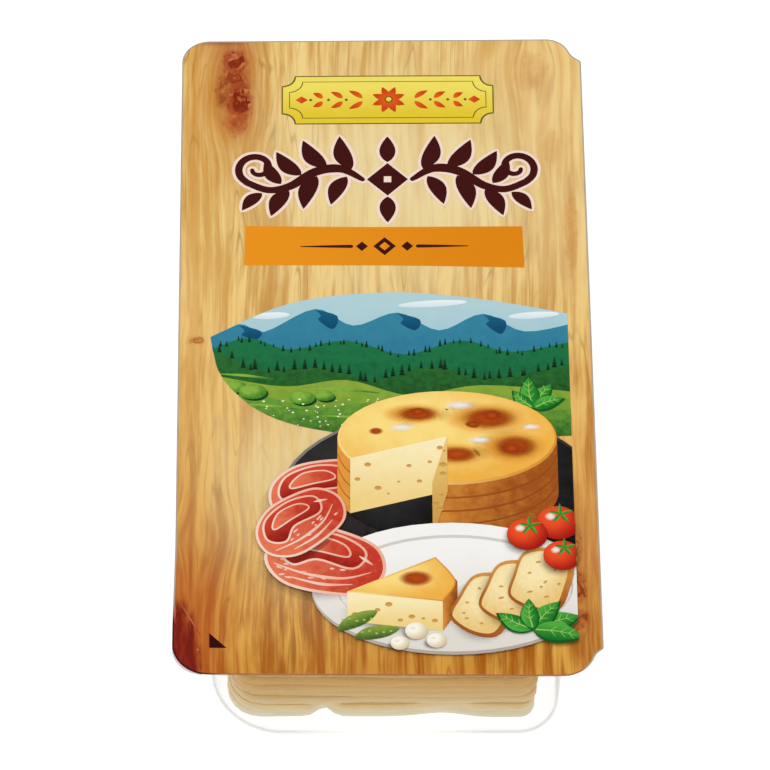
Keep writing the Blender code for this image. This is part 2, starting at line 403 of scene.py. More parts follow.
@dataclass(frozen=True)
class PrintedWood:
    """The film's printed board: upright grain, knots, a pale glow, and a dark corner that is partly
    printed stain and partly painted shade.
    """

    name: str = "film_wood"
    top: tuple[Colour, Colour] = ((241, 208, 132), (202, 146, 56))
    foot: tuple[Colour, Colour] = ((232, 176, 78), (164, 88, 12))
    foot_reach: Pair = (60.0, -95.0)
    slow: Blobs = Blobs(46.0, 70.0, 1.0, 1.0)
    slow_bend: float = 5.5
    fine: Blobs = Blobs(9.0, 26.0, 2.0, 1.0)
    fine_bend: float = 1.2
    swirl_reach: Pair = (1.9, 1.5)
    layers: tuple[tuple[Blobs, float], ...] = (
        (Blobs(11.0, 150.0, 3.0), 0.9),
        (Blobs(2.6, 85.0, 5.0, 3.0, 0.55), 1.25),
        (Blobs(0.9, 18.0, 7.0), 0.5),
        (Blobs(3.8, 20.0, 8.0, 3.0, 0.55), 0.62),
    )
    depth: Pair = (1.38, 1.91)
    line: Colour = (144, 92, 30)
    line_wander: Blobs = Blobs(9.0, 110.0, 11.0, 2.0, 0.45)
    line_count: float = 10.0
    line_width: Pair = (0.76, 1.0)
    line_breaks: Blobs = Blobs(6.0, 34.0, 13.0, 1.0)
    line_gaps: Pair = (0.36, 0.60)
    line_share: float = 0.60
    pores: Blobs = Blobs(0.9, 15.0, 15.0, 0.0)
    pore_width: Pair = (0.66, 0.80)
    pore_share: float = 0.20
    wash_streaks: Blobs = Blobs(3.5, 48.0, 9.0, 1.0)
    wash_streaking: float = 1.2
    wash_least: float = 0.36
    knot_warp: Blobs = Blobs(2.6, 4.4, 17.0, 3.0, 0.55)
    knot_warping: Pair = (1.2, 0.8)
    knot_spots: Blobs = Blobs(2.8, 3.6, 18.0, 2.0, 0.45)
    halo: Pair = (2.3, 0.4)
    halo_share: float = 0.34
    ring_count: float = 5.0
    ring_warping: float = 17.0
    ring_share: float = 0.18
    body: Pair = (1.3, 0.8)
    body_share: float = 0.78
    rich_from: float = 0.5
    crack: Colour = (112, 20, 0)
    crack_rings: Pair = (-0.10, 0.80)
    crack_share: float = 0.72
    spot: Colour = (224, 136, 92)
    spot_rings: Pair = (0.1, -0.7)
    spot_width: Pair = (0.52, 0.62)
    spot_share: float = 0.6
    # Near left corner: printed stain, darkened further by painted shade of the lifted, unsealed film.
    corner: Colour = (112, 8, 4)
    corner_warm: Colour = (136, 34, 14)
    corner_rim: Colour = (180, 76, 28)
    corner_at: Pair = (-66.0, -124.0)
    corner_reach: Pair = (8.8, 25.0)
    corner_streaks: Blobs = Blobs(2.2, 15.0, 19.0, 3.0, 0.6)
    corner_streaking: float = 1.6
    corner_warming: Pair = (0.42, 0.60)
    corner_fade: Pair = (1.45, 0.75)
    corner_share: float = 0.95
    rim_fade: float = 0.36
    rim_streaking: float = 0.9
    rim_least: float = 0.4

    def make(self) -> bpy.types.Material:
        """Builds the material.

        Returns:
            The film's material.
        """
        surface = Surface(self.name)
        x, y, _ = surface.place()
        at = WoodPlace(surface, x, y, self.around_knots(surface, x, y))
        colour = self.boards(at)
        for layer in (self.lines, self.washes, self.knots, self.corner_stain_and_shade):
            colour = layer(at, colour)
        surface.feed(surface.shader.inputs["Base Color"], colour)
        FilmGloss().apply(surface)
        return surface.material

    def around_knots(self, surface: Surface, x: Wire, y: Wire) -> Wire:
        """Bends the grain slowly, and out round each knot.

        Args:
            surface: the material.
            x: place across the pack.
            y: place along the pack.

        Returns:
            The place across the bent grain.
        """
        bent = x + (self.slow.over(surface, x, y) - 0.5) * self.slow_bend
        bent = bent + (self.fine.over(surface, x, y) - 0.5) * self.fine_bend
        for knot in KNOTS:
            reach = (knot.wide * self.swirl_reach[0], knot.tall * self.swirl_reach[1])
            pull = squares(*shares(x, y, (knot.x, knot.y), reach)).bell()
            bent = bent - (x - knot.x) * pull * knot.swirl
        return bent

    def boards(self, at: WoodPlace) -> bpy.types.NodeSocket:
        """Streaks of light and dark wood, warmer towards the foot.

        Args:
            at: the point of the wood.

        Returns:
            The colour.
        """
        surface = at.surface
        depth = sum(blobs.over(surface, at.grain, at.y) * part for blobs, part in self.layers)
        foot = at.y.step(*self.foot_reach)
        light, dark = (
            surface.blend(foot, srgb(*top), srgb(*low)) for top, low in zip(self.top, self.foot)
        )
        return surface.blend(depth.step(*self.depth), light, dark)

    def lines(self, at: WoodPlace, colour: bpy.types.NodeSocket) -> bpy.types.NodeSocket:
        """Thin dark lines of late wood along the grain, and short dark pores.

        Args:
            at: the point of the wood.
            colour: what they lie on.

        Returns:
            The colour with them.
        """
        wander = self.line_wander.over(at.surface, at.grain, at.y) * self.line_count
        ridge = 1.0 - (wander.maths("FRACT", wander) - 0.5).sized() * 2.0
        broken = self.line_breaks.over(at.surface, at.grain, at.y).step(*self.line_gaps)
        share = ridge.step(*self.line_width) * broken * self.line_share
        colour = at.surface.blend(share, colour, srgb(*self.line))
        pore = self.pores.over(at.surface, at.grain, at.y).step(*self.pore_width)
        return at.surface.blend(pore * self.pore_share, colour, srgb(*self.line))

    def washes(self, at: WoodPlace, colour: bpy.types.NodeSocket) -> bpy.types.NodeSocket:
        """Soft patches: the pale glow behind the print and the warmer edges.

        Args:
            at: the point of the wood.
            colour: what they lie on.

        Returns:
            The colour with them.
        """
        streak = self.wash_streaks.over(at.surface, at.grain, at.y)
        streak = streak * self.wash_streaking + self.wash_least
        for wash in WASHES:
            away = squares(*shares(at.x, at.y, (wash.x, wash.y), (wash.wide, wash.tall)))
            share = away.bell() * wash.share * streak
            colour = at.surface.blend(share.clamped(), colour, srgb(*wash.tone))
        return colour

    def knots(self, at: WoodPlace, colour: bpy.types.NodeSocket) -> bpy.types.NodeSocket:
        """The knots' stains, with crooked dark rings and pale spots.

        Args:
            at: the point of the wood.
            colour: what they lie on.

        Returns:
            The colour with them.
        """
        surface = at.surface
        warp = self.knot_warp.over(surface, at.x, at.y) - 0.5
        spots = self.knot_spots.over(surface, at.x, at.y).step(*self.spot_width)
        for knot in KNOTS:
            tone = srgb(*knot.tone)
            u, v = shares(at.x, at.y, (knot.x, knot.y), (knot.wide, knot.tall))
            away = squares(u + warp * self.knot_warping[0], v + warp * self.knot_warping[1]).root()
            halo = away.step(*self.halo) * knot.stain * self.halo_share
            colour = surface.blend(halo, colour, tone)
            turns = away * self.ring_count + warp * self.ring_warping
            ring = turns.maths("SINE", turns)
            body = away.step(*self.body) * knot.stain
            share = body * (ring * self.ring_share + self.body_share)
            colour = surface.blend(share.clamped(), colour, tone)
            rich = max(knot.stain - self.rich_from, 0.0) / (1.0 - self.rich_from)
            if rich:
                crack = body * ring.step(*self.crack_rings) * (rich * self.crack_share)
                colour = surface.blend(crack, colour, srgb(*self.crack))
                spot = body * ring.step(*self.spot_rings) * spots * (rich * self.spot_share)
                colour = surface.blend(spot, colour, srgb(*self.spot))
        return colour

    def corner_stain_and_shade(self, at: WoodPlace, colour: bpy.types.NodeSocket) -> bpy.types.NodeSocket:
        """The red-brown stain that fills the near left corner, deepened with painted shade where the
        unsealed film lifts.

        Args:
            at: the point of the wood.
            colour: what it lies on.

        Returns:
            The colour with it.
        """
        surface = at.surface
        away = squares(*shares(at.x, at.y, self.corner_at, self.corner_reach))
        streak = self.corner_streaks.over(surface, at.grain, at.y)
        warm = (away * self.rim_fade).bell() * (streak * self.rim_streaking + self.rim_least)
        colour = surface.blend(warm.clamped(), colour, srgb(*self.corner_rim))
        warm = streak.step(*self.corner_warming)
        stain = surface.blend(warm, srgb(*self.corner), srgb(*self.corner_warm))
        edge = away + (streak - 0.5) * self.corner_streaking
        return surface.blend(edge.step(*self.corner_fade) * self.corner_share, colour, stain)


@dataclass(frozen=True)
class Ink:
    """A printed ink: two colours, how they run over a field, and their mottling."""

    name: str
    light: Colour
    dark: Colour
    shading: Shading = Shading.FLAT
    mottle: float = 0.12
    grain: float = 6.0
    soft: float = 0.0
    flat_share: float = 0.25
    lit_from: Pair = (-0.28, 0.32)
    lit_reach: Pair = (0.25, 1.45)

    def make(self) -> bpy.types.Material:
        """Builds the material.

        Returns:
            The ink's material.
        """
        surface = Surface("ink_" + self.name)
        x, y, _ = surface.place()
        mottling = Blobs(self.grain, self.grain, 21.0, 3.0, 0.6).over(surface, x, y) - 0.5
        share = (mottling * (self.mottle * 4.0) + self.run(surface)).clamped()
        colour = surface.blend(share, srgb(*self.light), srgb(*self.dark))
        surface.feed(surface.shader.inputs["Base Color"], colour)
        if self.soft:
            fade = squares(*surface.map_place("Field")).root().step(1.0, 0.1) * self.soft
            surface.feed(surface.shader.inputs["Alpha"], fade)
        FilmGloss().apply(surface)
        return surface.material

    def run(self, surface: Surface) -> Value:
        """How far the second colour has come at a point.

        Args:
            surface: the material.

        Returns:
            The share, before mottling.
        """
        if self.shading is Shading.FLAT:
            return self.flat_share
        u, v = surface.map_place("Field")
        if self.shading is Shading.RISING:
            return (v * -0.5 + 0.5).step(0.0, 1.0)
        if self.shading is Shading.ACROSS:
            return (u * 0.5 + 0.5).step(0.0, 1.0)
        off = squares(u - self.lit_from[0], v - self.lit_from[1])
        return off.root().step(*self.lit_reach)


class Inks(Enum):
    """Every ink that the film is printed with over the wood."""

    MAROON = Ink("maroon", (66, 12, 9), (50, 7, 6), mottle=0.15, grain=14.0)
    HALO = Ink("halo", (245, 222, 206), (238, 206, 184), mottle=0.2, grain=9.0)
    PLAQUE = Ink("plaque", (240, 222, 98), (226, 198, 48), Shading.RISING)
    OLIVE = Ink("olive", (98, 94, 42), (72, 74, 34))
    MOTIF = Ink("motif", (224, 92, 24), (198, 58, 14), Shading.ACROSS)
    BAND = Ink("band", (232, 146, 22), (222, 132, 12), Shading.ACROSS, 0.14, 16.0)
    BLACK = Ink("black", (54, 0, 2), (38, 0, 0))
    # Ink of the crease line, and also of the painted highlight along the film's lifted left edge.
    CREASE = Ink("crease", (208, 104, 68), (192, 82, 50), soft=0.9)
    SKY = Ink("sky", (176, 208, 214), (112, 166, 190), Shading.RISING, 0.08)
    CLOUD = Ink("cloud", (232, 240, 242), (214, 228, 234), Shading.RISING)
    FAR_HILL = Ink("far_hill", (52, 130, 156), (8, 88, 128), Shading.RISING, 0.14, 5.0)
    HILL_SHADE = Ink("hill_shade", (16, 92, 128), (8, 70, 104), Shading.RISING)
    DEEP_HILL = Ink("deep_hill", (26, 112, 66), (6, 66, 38), Shading.RISING, 0.3, 3.0)
    FOREST = Ink("forest", (40, 104, 44), (8, 48, 20), Shading.RISING, 0.4, 2.4)
    PINE = Ink("pine", (18, 70, 32), (6, 36, 17), Shading.RISING, 0.2, 2.0)
    MEADOW = Ink("meadow", (140, 168, 58), (74, 136, 36), Shading.RISING, 0.3, 4.0)
    GRASS = Ink("grass", (104, 154, 52), (38, 96, 34), Shading.RISING, 0.4, 2.2)
    BUSH = Ink("bush", (132, 178, 62), (58, 122, 36), Shading.ROUND, 0.3, 1.6)
    FLOWER = Ink("flower", (248, 242, 222), (240, 226, 150))
    SLATE = Ink("slate", (46, 44, 44), (14, 12, 12), Shading.ROUND, 0.2, 5.0)
    SLATE_EDGE = Ink("slate_edge", (128, 122, 118), (44, 40, 38), Shading.ACROSS)
    RIND = Ink("rind", (228, 152, 60), (158, 80, 22), Shading.ACROSS, 0.25, 4.0)
    RIND_LINE = Ink("rind_line", (176, 98, 32), (140, 70, 20), Shading.ACROSS)
    RIND_LIGHT = Ink("rind_light", (250, 214, 128), (218, 148, 52), Shading.ACROSS)
    WHEEL_TOP = Ink("wheel_top", (251, 220, 128), (240, 178, 70), Shading.ROUND, 0.2, 6.0)
    CUT = Ink("cut_face", (251, 236, 186), (240, 208, 130), Shading.RISING, 0.1, 4.0)
    CUT_SHADE = Ink("cut_shade", (234, 198, 118), (204, 150, 66), Shading.RISING, 0.1, 4.0)
    HOLE = Ink("hole", (196, 142, 66), (214, 166, 86), Shading.RISING)
    GOLD = Ink("gold", (238, 172, 58), (238, 172, 58), soft=0.75)
    TOAST = Ink("toast", (188, 74, 14), (170, 60, 10), mottle=0.3, grain=2.0, soft=0.95)
    GLEAM = Ink("gleam", (255, 250, 236), (255, 250, 236), soft=0.8)
    SHADE = Ink("shade", (74, 38, 14), (60, 28, 10), soft=0.6)
    DISH = Ink("dish", (246, 244, 240), (224, 218, 208), Shading.RISING, 0.06)
    DISH_SHADE = Ink("dish_shade", (212, 206, 198), (178, 168, 158), Shading.RISING)
    HAM = Ink("ham", (230, 118, 82), (196, 56, 38), Shading.ACROSS, 0.3, 2.6)
    HAM_FAT = Ink("ham_fat", (246, 212, 194), (238, 176, 152), Shading.ACROSS)
    HAM_DEEP = Ink("ham_deep", (206, 62, 40), (146, 22, 16), Shading.RISING, 0.25, 2.4)
    TOMATO = Ink("tomato", (238, 78, 34), (162, 16, 8), Shading.ROUND, 0.06)
    CRUST = Ink("crust", (216, 148, 66), (160, 86, 28), Shading.RISING, 0.2, 3.0)
    CRUMB = Ink("crumb", (250, 230, 176), (234, 198, 122), Shading.ROUND, 0.25, 1.6)
    ONION = Ink("onion", (252, 248, 232), (216, 196, 156), Shading.ROUND, 0.05)
    GHERKIN = Ink("gherkin", (138, 160, 62), (66, 98, 34), Shading.RISING, 0.25, 1.6)
    LEAF = Ink("leaf", (78, 170, 62), (14, 116, 32), Shading.RISING, 0.15, 3.0)
    LEAF_DEEP = Ink("leaf_deep", (16, 92, 28), (8, 66, 20))
    LEAF_LIGHT = Ink("leaf_light", (158, 208, 100), (104, 176, 70))


@dataclass(frozen=True)
class ClearPlastic:
    """Clear formed sheet: seen through face on; where it is seen along, a painted grey-blue reflection
    darkens it.
    """

    name: str = "clear_sheet"
    # Painted reflection: the dark tone the sheet takes where it is seen along.
    edge_reflection_tone: Colour = (54, 62, 72)
    roughness: float = 0.06
    specular: float = 0.7
    foot_power: float = 6.0
    wall_power: float = 14.0
    foot_height: float = 5.0
    middle: float = 12.0
    sides: float = 36.0
    middle_reflection_share: float = 0.2
    side_reflection_haze: float = 0.008
    ripple: Blobs = Blobs(12.0, 12.0, 0.0, 1.0)
    ripple_rise: float = 15.0
    ripple_height: float = 0.12 * MM

    def make(self) -> bpy.types.Material:
        """Builds the material, whose painted dark edge reflections show most towards the sides.

        Returns:
            The tray's material.
        """
        surface = Surface(self.name)
        surface.fix({"Base Color": srgb(*self.edge_reflection_tone), "Roughness": self.roughness})
        surface.fix({"Specular IOR Level": self.specular})
        x, y, z = surface.place()
        weight = surface.node("ShaderNodeLayerWeight", {}, {"Blend": 0.5})
        along = Wire(surface, weight.outputs["Facing"])
        rise = z.step(self.foot_height, self.foot_height * 2.0)
        power = rise * (self.wall_power - self.foot_power) + self.foot_power
        # Painted reflection: stronger dark edges and a faint haze towards the tray's sides.
        side_reflection = x.sized().step(self.middle, self.sides)
        share = (along ** power) * (side_reflection * (1.0 - self.middle_reflection_share) + self.middle_reflection_share)
        share = (share + side_reflection * self.side_reflection_haze).clamped()
        clear = surface.node("ShaderNodeBsdfTransparent", {}, {})
        inputs = {0: share, 1: clear.outputs[0], 2: surface.shader.outputs[0]}
        mixed = surface.node("ShaderNodeMixShader", {}, inputs)
        surface.feed(surface.tree.nodes["Material Output"].inputs["Surface"], mixed.outputs[0])
        wide, tall = self.ripple.wide, self.ripple.tall
        ripple = surface.clouds(x / wide, y / tall, z / self.ripple_rise, self.ripple.detail)
        surface.emboss(ripple, self.ripple_height)
        return surface.material


@dataclass(frozen=True)
class Cheese:
    """Semi-hard cheese: a pale yellow paste whose cut edges have dried to tan."""

    name: str = "cheese_paste"
    paste: Colour = (238, 214, 152)
    edge: Colour = (198, 161, 99)
    shade: Colour = (184, 143, 82)
    # Painted light: the lighter and paler tones the cut edge takes towards the floor.
    low: Colour = (222, 206, 165)
    pale: Colour = (212, 214, 200)
    pitch: float = 3.6
    first: float = 0.8
    blob: float = 7.0
    blob_rise: float = 1.6
    flat_from: Pair = (0.55, 0.95)
    blob_share: float = 0.9
    tone_share: float = 0.3
    least_dried: float = -0.2
    # Where and how strongly painted light from below lightens the cut edge.
    under_light_heights: Pair = (20.0, 1.0)
    under_light_blobs: float = 0.8
    least_under_light: float = 0.45
    fillet_reflection_heights: Pair = (6.0, 1.5)
    fillet_reflection_share: float = 0.5
    patch: float = 16.0
    patch_share: float = 0.35
    crumb: float = 0.9
    crumb_rise: float = 0.5
    crumb_height: float = 0.12 * MM
    scatter: float = 0.12
    scatter_depths: Colour = (1.0, 0.7, 0.35)
    scatter_scale: float = 1.5 * MM
    roughness: float = 0.48
    specular: float = 0.2

    def make(self) -> bpy.types.Material:
        """Builds the material.

        Returns:
            The slices' material.
        """
        surface = Surface(self.name)
        x, y, z = surface.place()
        normal = surface.node("ShaderNodeNewGeometry", {}, {}).outputs["Normal"]
        split = surface.node("ShaderNodeSeparateXYZ", {}, {0: normal})
        flat = Wire(surface, split.outputs[2]).sized().step(*self.flat_from)
        spread = surface.clouds(x / self.patch, y / self.patch, z)
        paste = surface.blend(spread * self.patch_share, srgb(*self.paste), srgb(*self.edge))
        surface.feed(surface.shader.inputs["Base Color"], surface.blend(flat, self.rim(surface), paste))
        surface.fix({"Roughness": self.roughness, "Specular IOR Level": self.specular})
        surface.fix({"Subsurface Weight": self.scatter, "Subsurface Scale": self.scatter_scale})
        surface.fix({"Subsurface Radius": self.scatter_depths})
        crumb = surface.clouds(x / self.crumb, y / self.crumb, z / self.crumb_rise, 3.0, 0.6)
        surface.emboss(crumb, self.crumb_height)
        return surface.material

    def rim(self, surface: Surface) -> bpy.types.NodeSocket:
        """The cut edge: its own tone on each slice, lighter and paler towards the floor by painted light
        from below and a painted reflection of the tray's foot.

        Args:
            surface: the material.

        Returns:
            The colour.
        """
        x, y, z = surface.place()
        number = ((z - self.first) / self.pitch).rounded_down()
        tone = surface.node("ShaderNodeTexWhiteNoise", {"noise_dimensions": "1D"}, {"W": number})
        tone = Wire(surface, tone.outputs["Value"])
        cloud = surface.clouds(x / self.blob, y / self.blob, z / self.blob_rise, 3.0, 0.6)
        dried = cloud * self.blob_share + tone * self.tone_share + self.least_dried
        dried = dried.clamped()
        colour = surface.blend(dried, srgb(*self.edge), srgb(*self.shade))
        # Painted light from below, lightening the lower slices.
        under_light = z.step(*self.under_light_heights) * (cloud * self.under_light_blobs + self.least_under_light)
        colour = surface.blend(under_light.clamped(), colour, srgb(*self.low))
        # Painted reflection of the tray's foot, paling the lowest slices.
        pale = z.step(*self.fillet_reflection_heights) * self.fillet_reflection_share
        return surface.blend(pale, colour, srgb(*self.pale))


@dataclass(frozen=True)
class FilmLie:
    """How the sealed film lies over the flange, in millimetres."""

    half_width: float = 65.0
    half_length: float = 124.5
    right_lean: float = 1.25
    left_lean: float = 0.4
    end_lean: float = 0.42
    shift_x: float = -0.38
    face: float = 43.76
    thickness: float = 0.10
    wave: float = 0.11
    wave_wide: float = 37.0
    wave_long: float = 55.0
    flat_past_x: float = 52.0
    flat_past_y: float = 118.0
    peel_x: float = -64.0
    peel_y: float = -123.0
    peel_reach: float = 17.0
    peel_lift: float = 0.16
    level_step: float = 0.014
    least_free: float = 0.15
    fade: float = 5.0
    wave_layer: float = 3.7
    ink_thickness: float = 0.008
    cell: float = 4.0

    def askew(self, points: Outline) -> Outline:
        """Moves points of a straight film to where its askew cut leaves them.

        Args:
            points: places on a film with straight, square sides.

        Returns:
            The places on the pack.
        """
        moved = []
        for x, y in points:
            across, along = x / self.half_width, y / self.half_length
            lean = self.right_lean if across > 0.0 else self.left_lean
            shift = self.shift_x - lean * abs(across) * along
            moved.append((x + shift, y + self.end_lean * across * along))
        return moved

    def lift(self, x: float, y: float) -> float:
        """How far the film stands above its flat place.

        Args:
            x: place across the pack.
            y: place along the pack.

        Returns:
            The lift, in millimetres.
        """
        column, row = math.floor(x / self.cell), math.floor(y / self.cell)
        share_x, share_y = x / self.cell - column, y / self.cell - row
        near = self.wave_at(column, row) * (1.0 - share_x) + self.wave_at(column + 1, row) * share_x
        row += 1
        far = self.wave_at(column, row) * (1.0 - share_x) + self.wave_at(column + 1, row) * share_x
        return near * (1.0 - share_y) + far * share_y

    def wave_at(self, column: int, row: int) -> float:
        """The lift at a corner of the film's cells."""
        x, y = column * self.cell, row * self.cell
        past = max(abs(x) - self.flat_past_x, abs(y) - self.flat_past_y, 0.0)
        free = max(self.least_free, 1.0 - past / self.fade)
        slow = noise.noise(Vector((x / self.wave_wide, y / self.wave_long, self.wave_layer)))
        away = math.hypot(x - self.peel_x, y - self.peel_y) / self.peel_reach
        return self.wave * free * slow + self.peel_lift * math.exp(-away * away)

    def cut(self, work: bmesh.types.BMesh) -> None:
        """Cuts flat faces along the film's cells, so that they can follow its waves.

        Args:
            work: the mesh, in millimetres.
        """
        for axis in (0, 1):
            places = [vert.co[axis] for vert in work.verts]
            first = math.ceil(min(places) / self.cell)
            last = math.floor(max(places) / self.cell)
            normal = Vector((1.0, 0.0, 0.0)) if axis == 0 else Vector((0.0, 1.0, 0.0))
            for number in range(first, last + 1):
                everything = work.verts[:] + work.edges[:] + work.faces[:]
                at = normal * (number * self.cell)
                bmesh.ops.bisect_plane(work, geom=everything, plane_co=at, plane_no=normal)

    def drape(self, work: bmesh.types.BMesh) -> None:
        """Lifts every point by the film's waves and turns millimetres into metres.

        Args:
            work: the mesh, in millimetres.
        """
        for vert in work.verts:
            vert.co.z += self.lift(vert.co.x, vert.co.y)
        bmesh.ops.scale(work, vec=(MM, MM, MM), verts=work.verts)


LIE = FilmLie()
JOIN_WITHIN = 0.002 * MM
FLAT_WITHIN = math.radians(0.5)
LEVEL_OVER = 0.9


def piece_from(
    work: bmesh.types.BMesh, name: str, finishes: Sequence[bpy.types.Material]
) -> bpy.types.Object:
    """Turns a finished bmesh into a piece of the pack.

    Args:
        work: the mesh, in metres and in place; it is freed.
        name: the piece's name.
        finishes: its materials, in the order of the faces' numbers.

    Returns:
        The piece, riding on the pack's body.
    """
    mesh = bpy.data.meshes.new(name)
    work.to_mesh(mesh)
    work.free()
    for finish in finishes:
        mesh.materials.append(finish)
    piece = bpy.data.objects.new(name, mesh)
    bpy.context.scene.collection.objects.link(piece)
    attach(piece, BODY)
    return piece


def node_copy(node: str, unit: float = 1.0) -> bmesh.types.BMesh:
    """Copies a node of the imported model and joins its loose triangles.

    Args:
        node: the node's name.
        unit: what its metres are multiplied by.

    Returns:
        The copy.
    """
    work = bmesh.new()
    work.from_mesh(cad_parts[node].data)
    bmesh.ops.remove_doubles(work, verts=work.verts, dist=JOIN_WITHIN)
    bmesh.ops.scale(work, vec=(unit, unit, unit), verts=work.verts)
    bmesh.ops.dissolve_limit(work, angle_limit=FLAT_WITHIN, verts=work.verts, edges=work.edges)
    return work


def thicken(work: bmesh.types.BMesh, by: float) -> None:
    """Turns open faces into a closed layer.

    Args:
        work: the mesh.
        by: how far above the faces its other side is.
    """
    made = bmesh.ops.extrude_face_region(work, geom=work.faces[:])
    moved = [item for item in made["geom"] if isinstance(item, bmesh.types.BMVert)]
    bmesh.ops.translate(work, vec=(0.0, 0.0, by), verts=moved)
    bmesh.ops.recalc_face_normals(work, faces=work.faces)


def frame_faces(work: bmesh.types.BMesh, faces: Sequence, width: float) -> list:
    """Cuts a frame of even width inside the border of some open faces.

    Args:
        work: the mesh.
        faces: the faces.
        width: the frame's width.

    Returns:
        The frame's faces.
    """
    made = bmesh.ops.inset_region(
        work, faces=faces, thickness=width, use_even_offset=True, use_boundary=True
    )
    return made["faces"]


@dataclass
class Tray:
    """The clear formed tray with its flange."""

    finish: ClearPlastic = field(default_factory=ClearPlastic)
    smooth_under: float = math.radians(35.0)
    rim_width: float = 1.7
    rim_height: float = 0.03
    top_within: float = 0.1
    rim_tone: Colour = (240, 220, 224)
    rim_shade: Colour = (220, 192, 200)
    bare_corner: tuple[float, float] = (-44.0, -104.0)
    pocket_turn: tuple[float, float] = (-32.0, -96.5)
    pocket_reach: float = 27.4

    def build(self) -> bpy.types.Object:
        """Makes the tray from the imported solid.

        Returns:
            The piece.
        """
        work = node_copy("tray")
        bmesh.ops.triangulate(work, faces=[face for face in work.faces if len(face.verts) > 4])
        piece = piece_from(work, "tray_shell", [self.finish.make()])
        piece.data.shade_smooth()
        piece.data.set_sharp_from_angle(angle=self.smooth_under)
        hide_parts("tray")
        return piece

    def build_rim(self) -> bpy.types.Object:
        """Makes the frosted edge of the flange that the film leaves bare at one corner.

        Returns:
            The piece.
        """
        work = node_copy("tray", 1.0 / MM)
        top = max(vert.co.z for vert in work.verts)
        level = [face for face in work.faces if face.normal.z > LEVEL_OVER]
        level = [face for face in level if face.calc_center_median().z > top - self.top_within]
        spare = [face for face in work.faces if face not in set(level)]
        bmesh.ops.delete(work, geom=spare, context="FACES")
        ring = frame_faces(work, work.faces[:], self.rim_width)
        ring = {face for face in ring if self.is_bare(face.calc_center_median())}
        spare = [face for face in work.faces if face not in ring]
        bmesh.ops.delete(work, geom=spare, context="FACES")
        thicken(work, self.rim_height)
        bmesh.ops.scale(work, vec=(MM, MM, MM), verts=work.verts)
        ink = Ink("cut_rim", self.rim_tone, self.rim_shade, mottle=0.3, grain=11.0)
        piece = piece_from(work, "flange_rim", [ink.make()])
        return piece

    def is_bare(self, place: Vector) -> bool:
        """Whether a place is on the flange's edge at the corner left bare, off the pocket."""
        turn_x, turn_y = self.pocket_turn
        outside = math.hypot(place.x - turn_x, place.y - turn_y) > self.pocket_reach
        return outside and place.x < self.bare_corner[0] and place.y < self.bare_corner[1]


@dataclass
class LidFilm:
    """The printed film sealed over the flange, without its fields of ink."""

    finish: PrintedWood = field(default_factory=PrintedWood)
    bare_edge: float = 0.5
    edge_tone: Colour = (186, 176, 160)
    edge_shade: Colour = (160, 148, 134)
    edge_near: Colour = (170, 94, 48)
    edge_dark: Colour = (58, 10, 14)
    near_from: float = -123.0
    dark_from: tuple[float, float] = (-65.0, -116.0)
    dark_reach: float = 12.5
    dark_fade: Pair = (2.2, 0.7)
    near_fade: float = 2.0
    near_share: float = 0.85
    mottle: float = 9.0
    smooth_under: float = math.radians(40.0)

    def build(self) -> bpy.types.Object:
        """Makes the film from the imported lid's outline.

        Returns:
            The piece.
        """
        work = node_copy("lid_film", 1.0 / MM)
        tops = [face for face in work.faces if face.normal.z > LEVEL_OVER]
        spare = [face for face in work.faces if face.normal.z <= LEVEL_OVER]
        bmesh.ops.delete(work, geom=spare, context="FACES")
        frame_faces(work, tops, self.bare_edge)
        for face in work.faces:
            face.material_index = 1
        for face in tops:
            face.material_index = 0
        LIE.cut(work)
        for vert in work.verts:
            vert.co.z = LIE.face
        thicken(work, -LIE.thickness)
        for face in work.faces:
            if abs(face.normal.z) < 0.5:
                face.material_index = 1
            face.smooth = abs(face.normal.z) > 0.5
        LIE.drape(work)
        piece = piece_from(work, "printed_film", [self.finish.make(), self.edge()])
        piece.data.set_sharp_from_angle(angle=self.smooth_under)
        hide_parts("lid_film")
        return piece

    def edge(self) -> bpy.types.Material:
        """The cut edge of the film: grey, brown at the near end, dark at the peel corner.

        Returns:
            The material.
        """
        surface = Surface("film_edge")
        x, y, z = surface.place()
        grain = surface.clouds(x / self.mottle, y / self.mottle, z, 1.0)
        pale = surface.blend(grain, srgb(*self.edge_tone), srgb(*self.edge_shade))
        near = y.step(self.near_from + self.near_fade, self.near_from) * self.near_share
        pale = surface.blend(near, pale, srgb(*self.edge_near))
        reach = (self.dark_reach, self.dark_reach)
        dark = squares(*shares(x, y, self.dark_from, reach)).step(*self.dark_fade)
        colour = surface.blend(dark, pale, srgb(*self.edge_dark))
        surface.feed(surface.shader.inputs["Base Color"], colour)
        FilmGloss().apply(surface)
        return surface.material


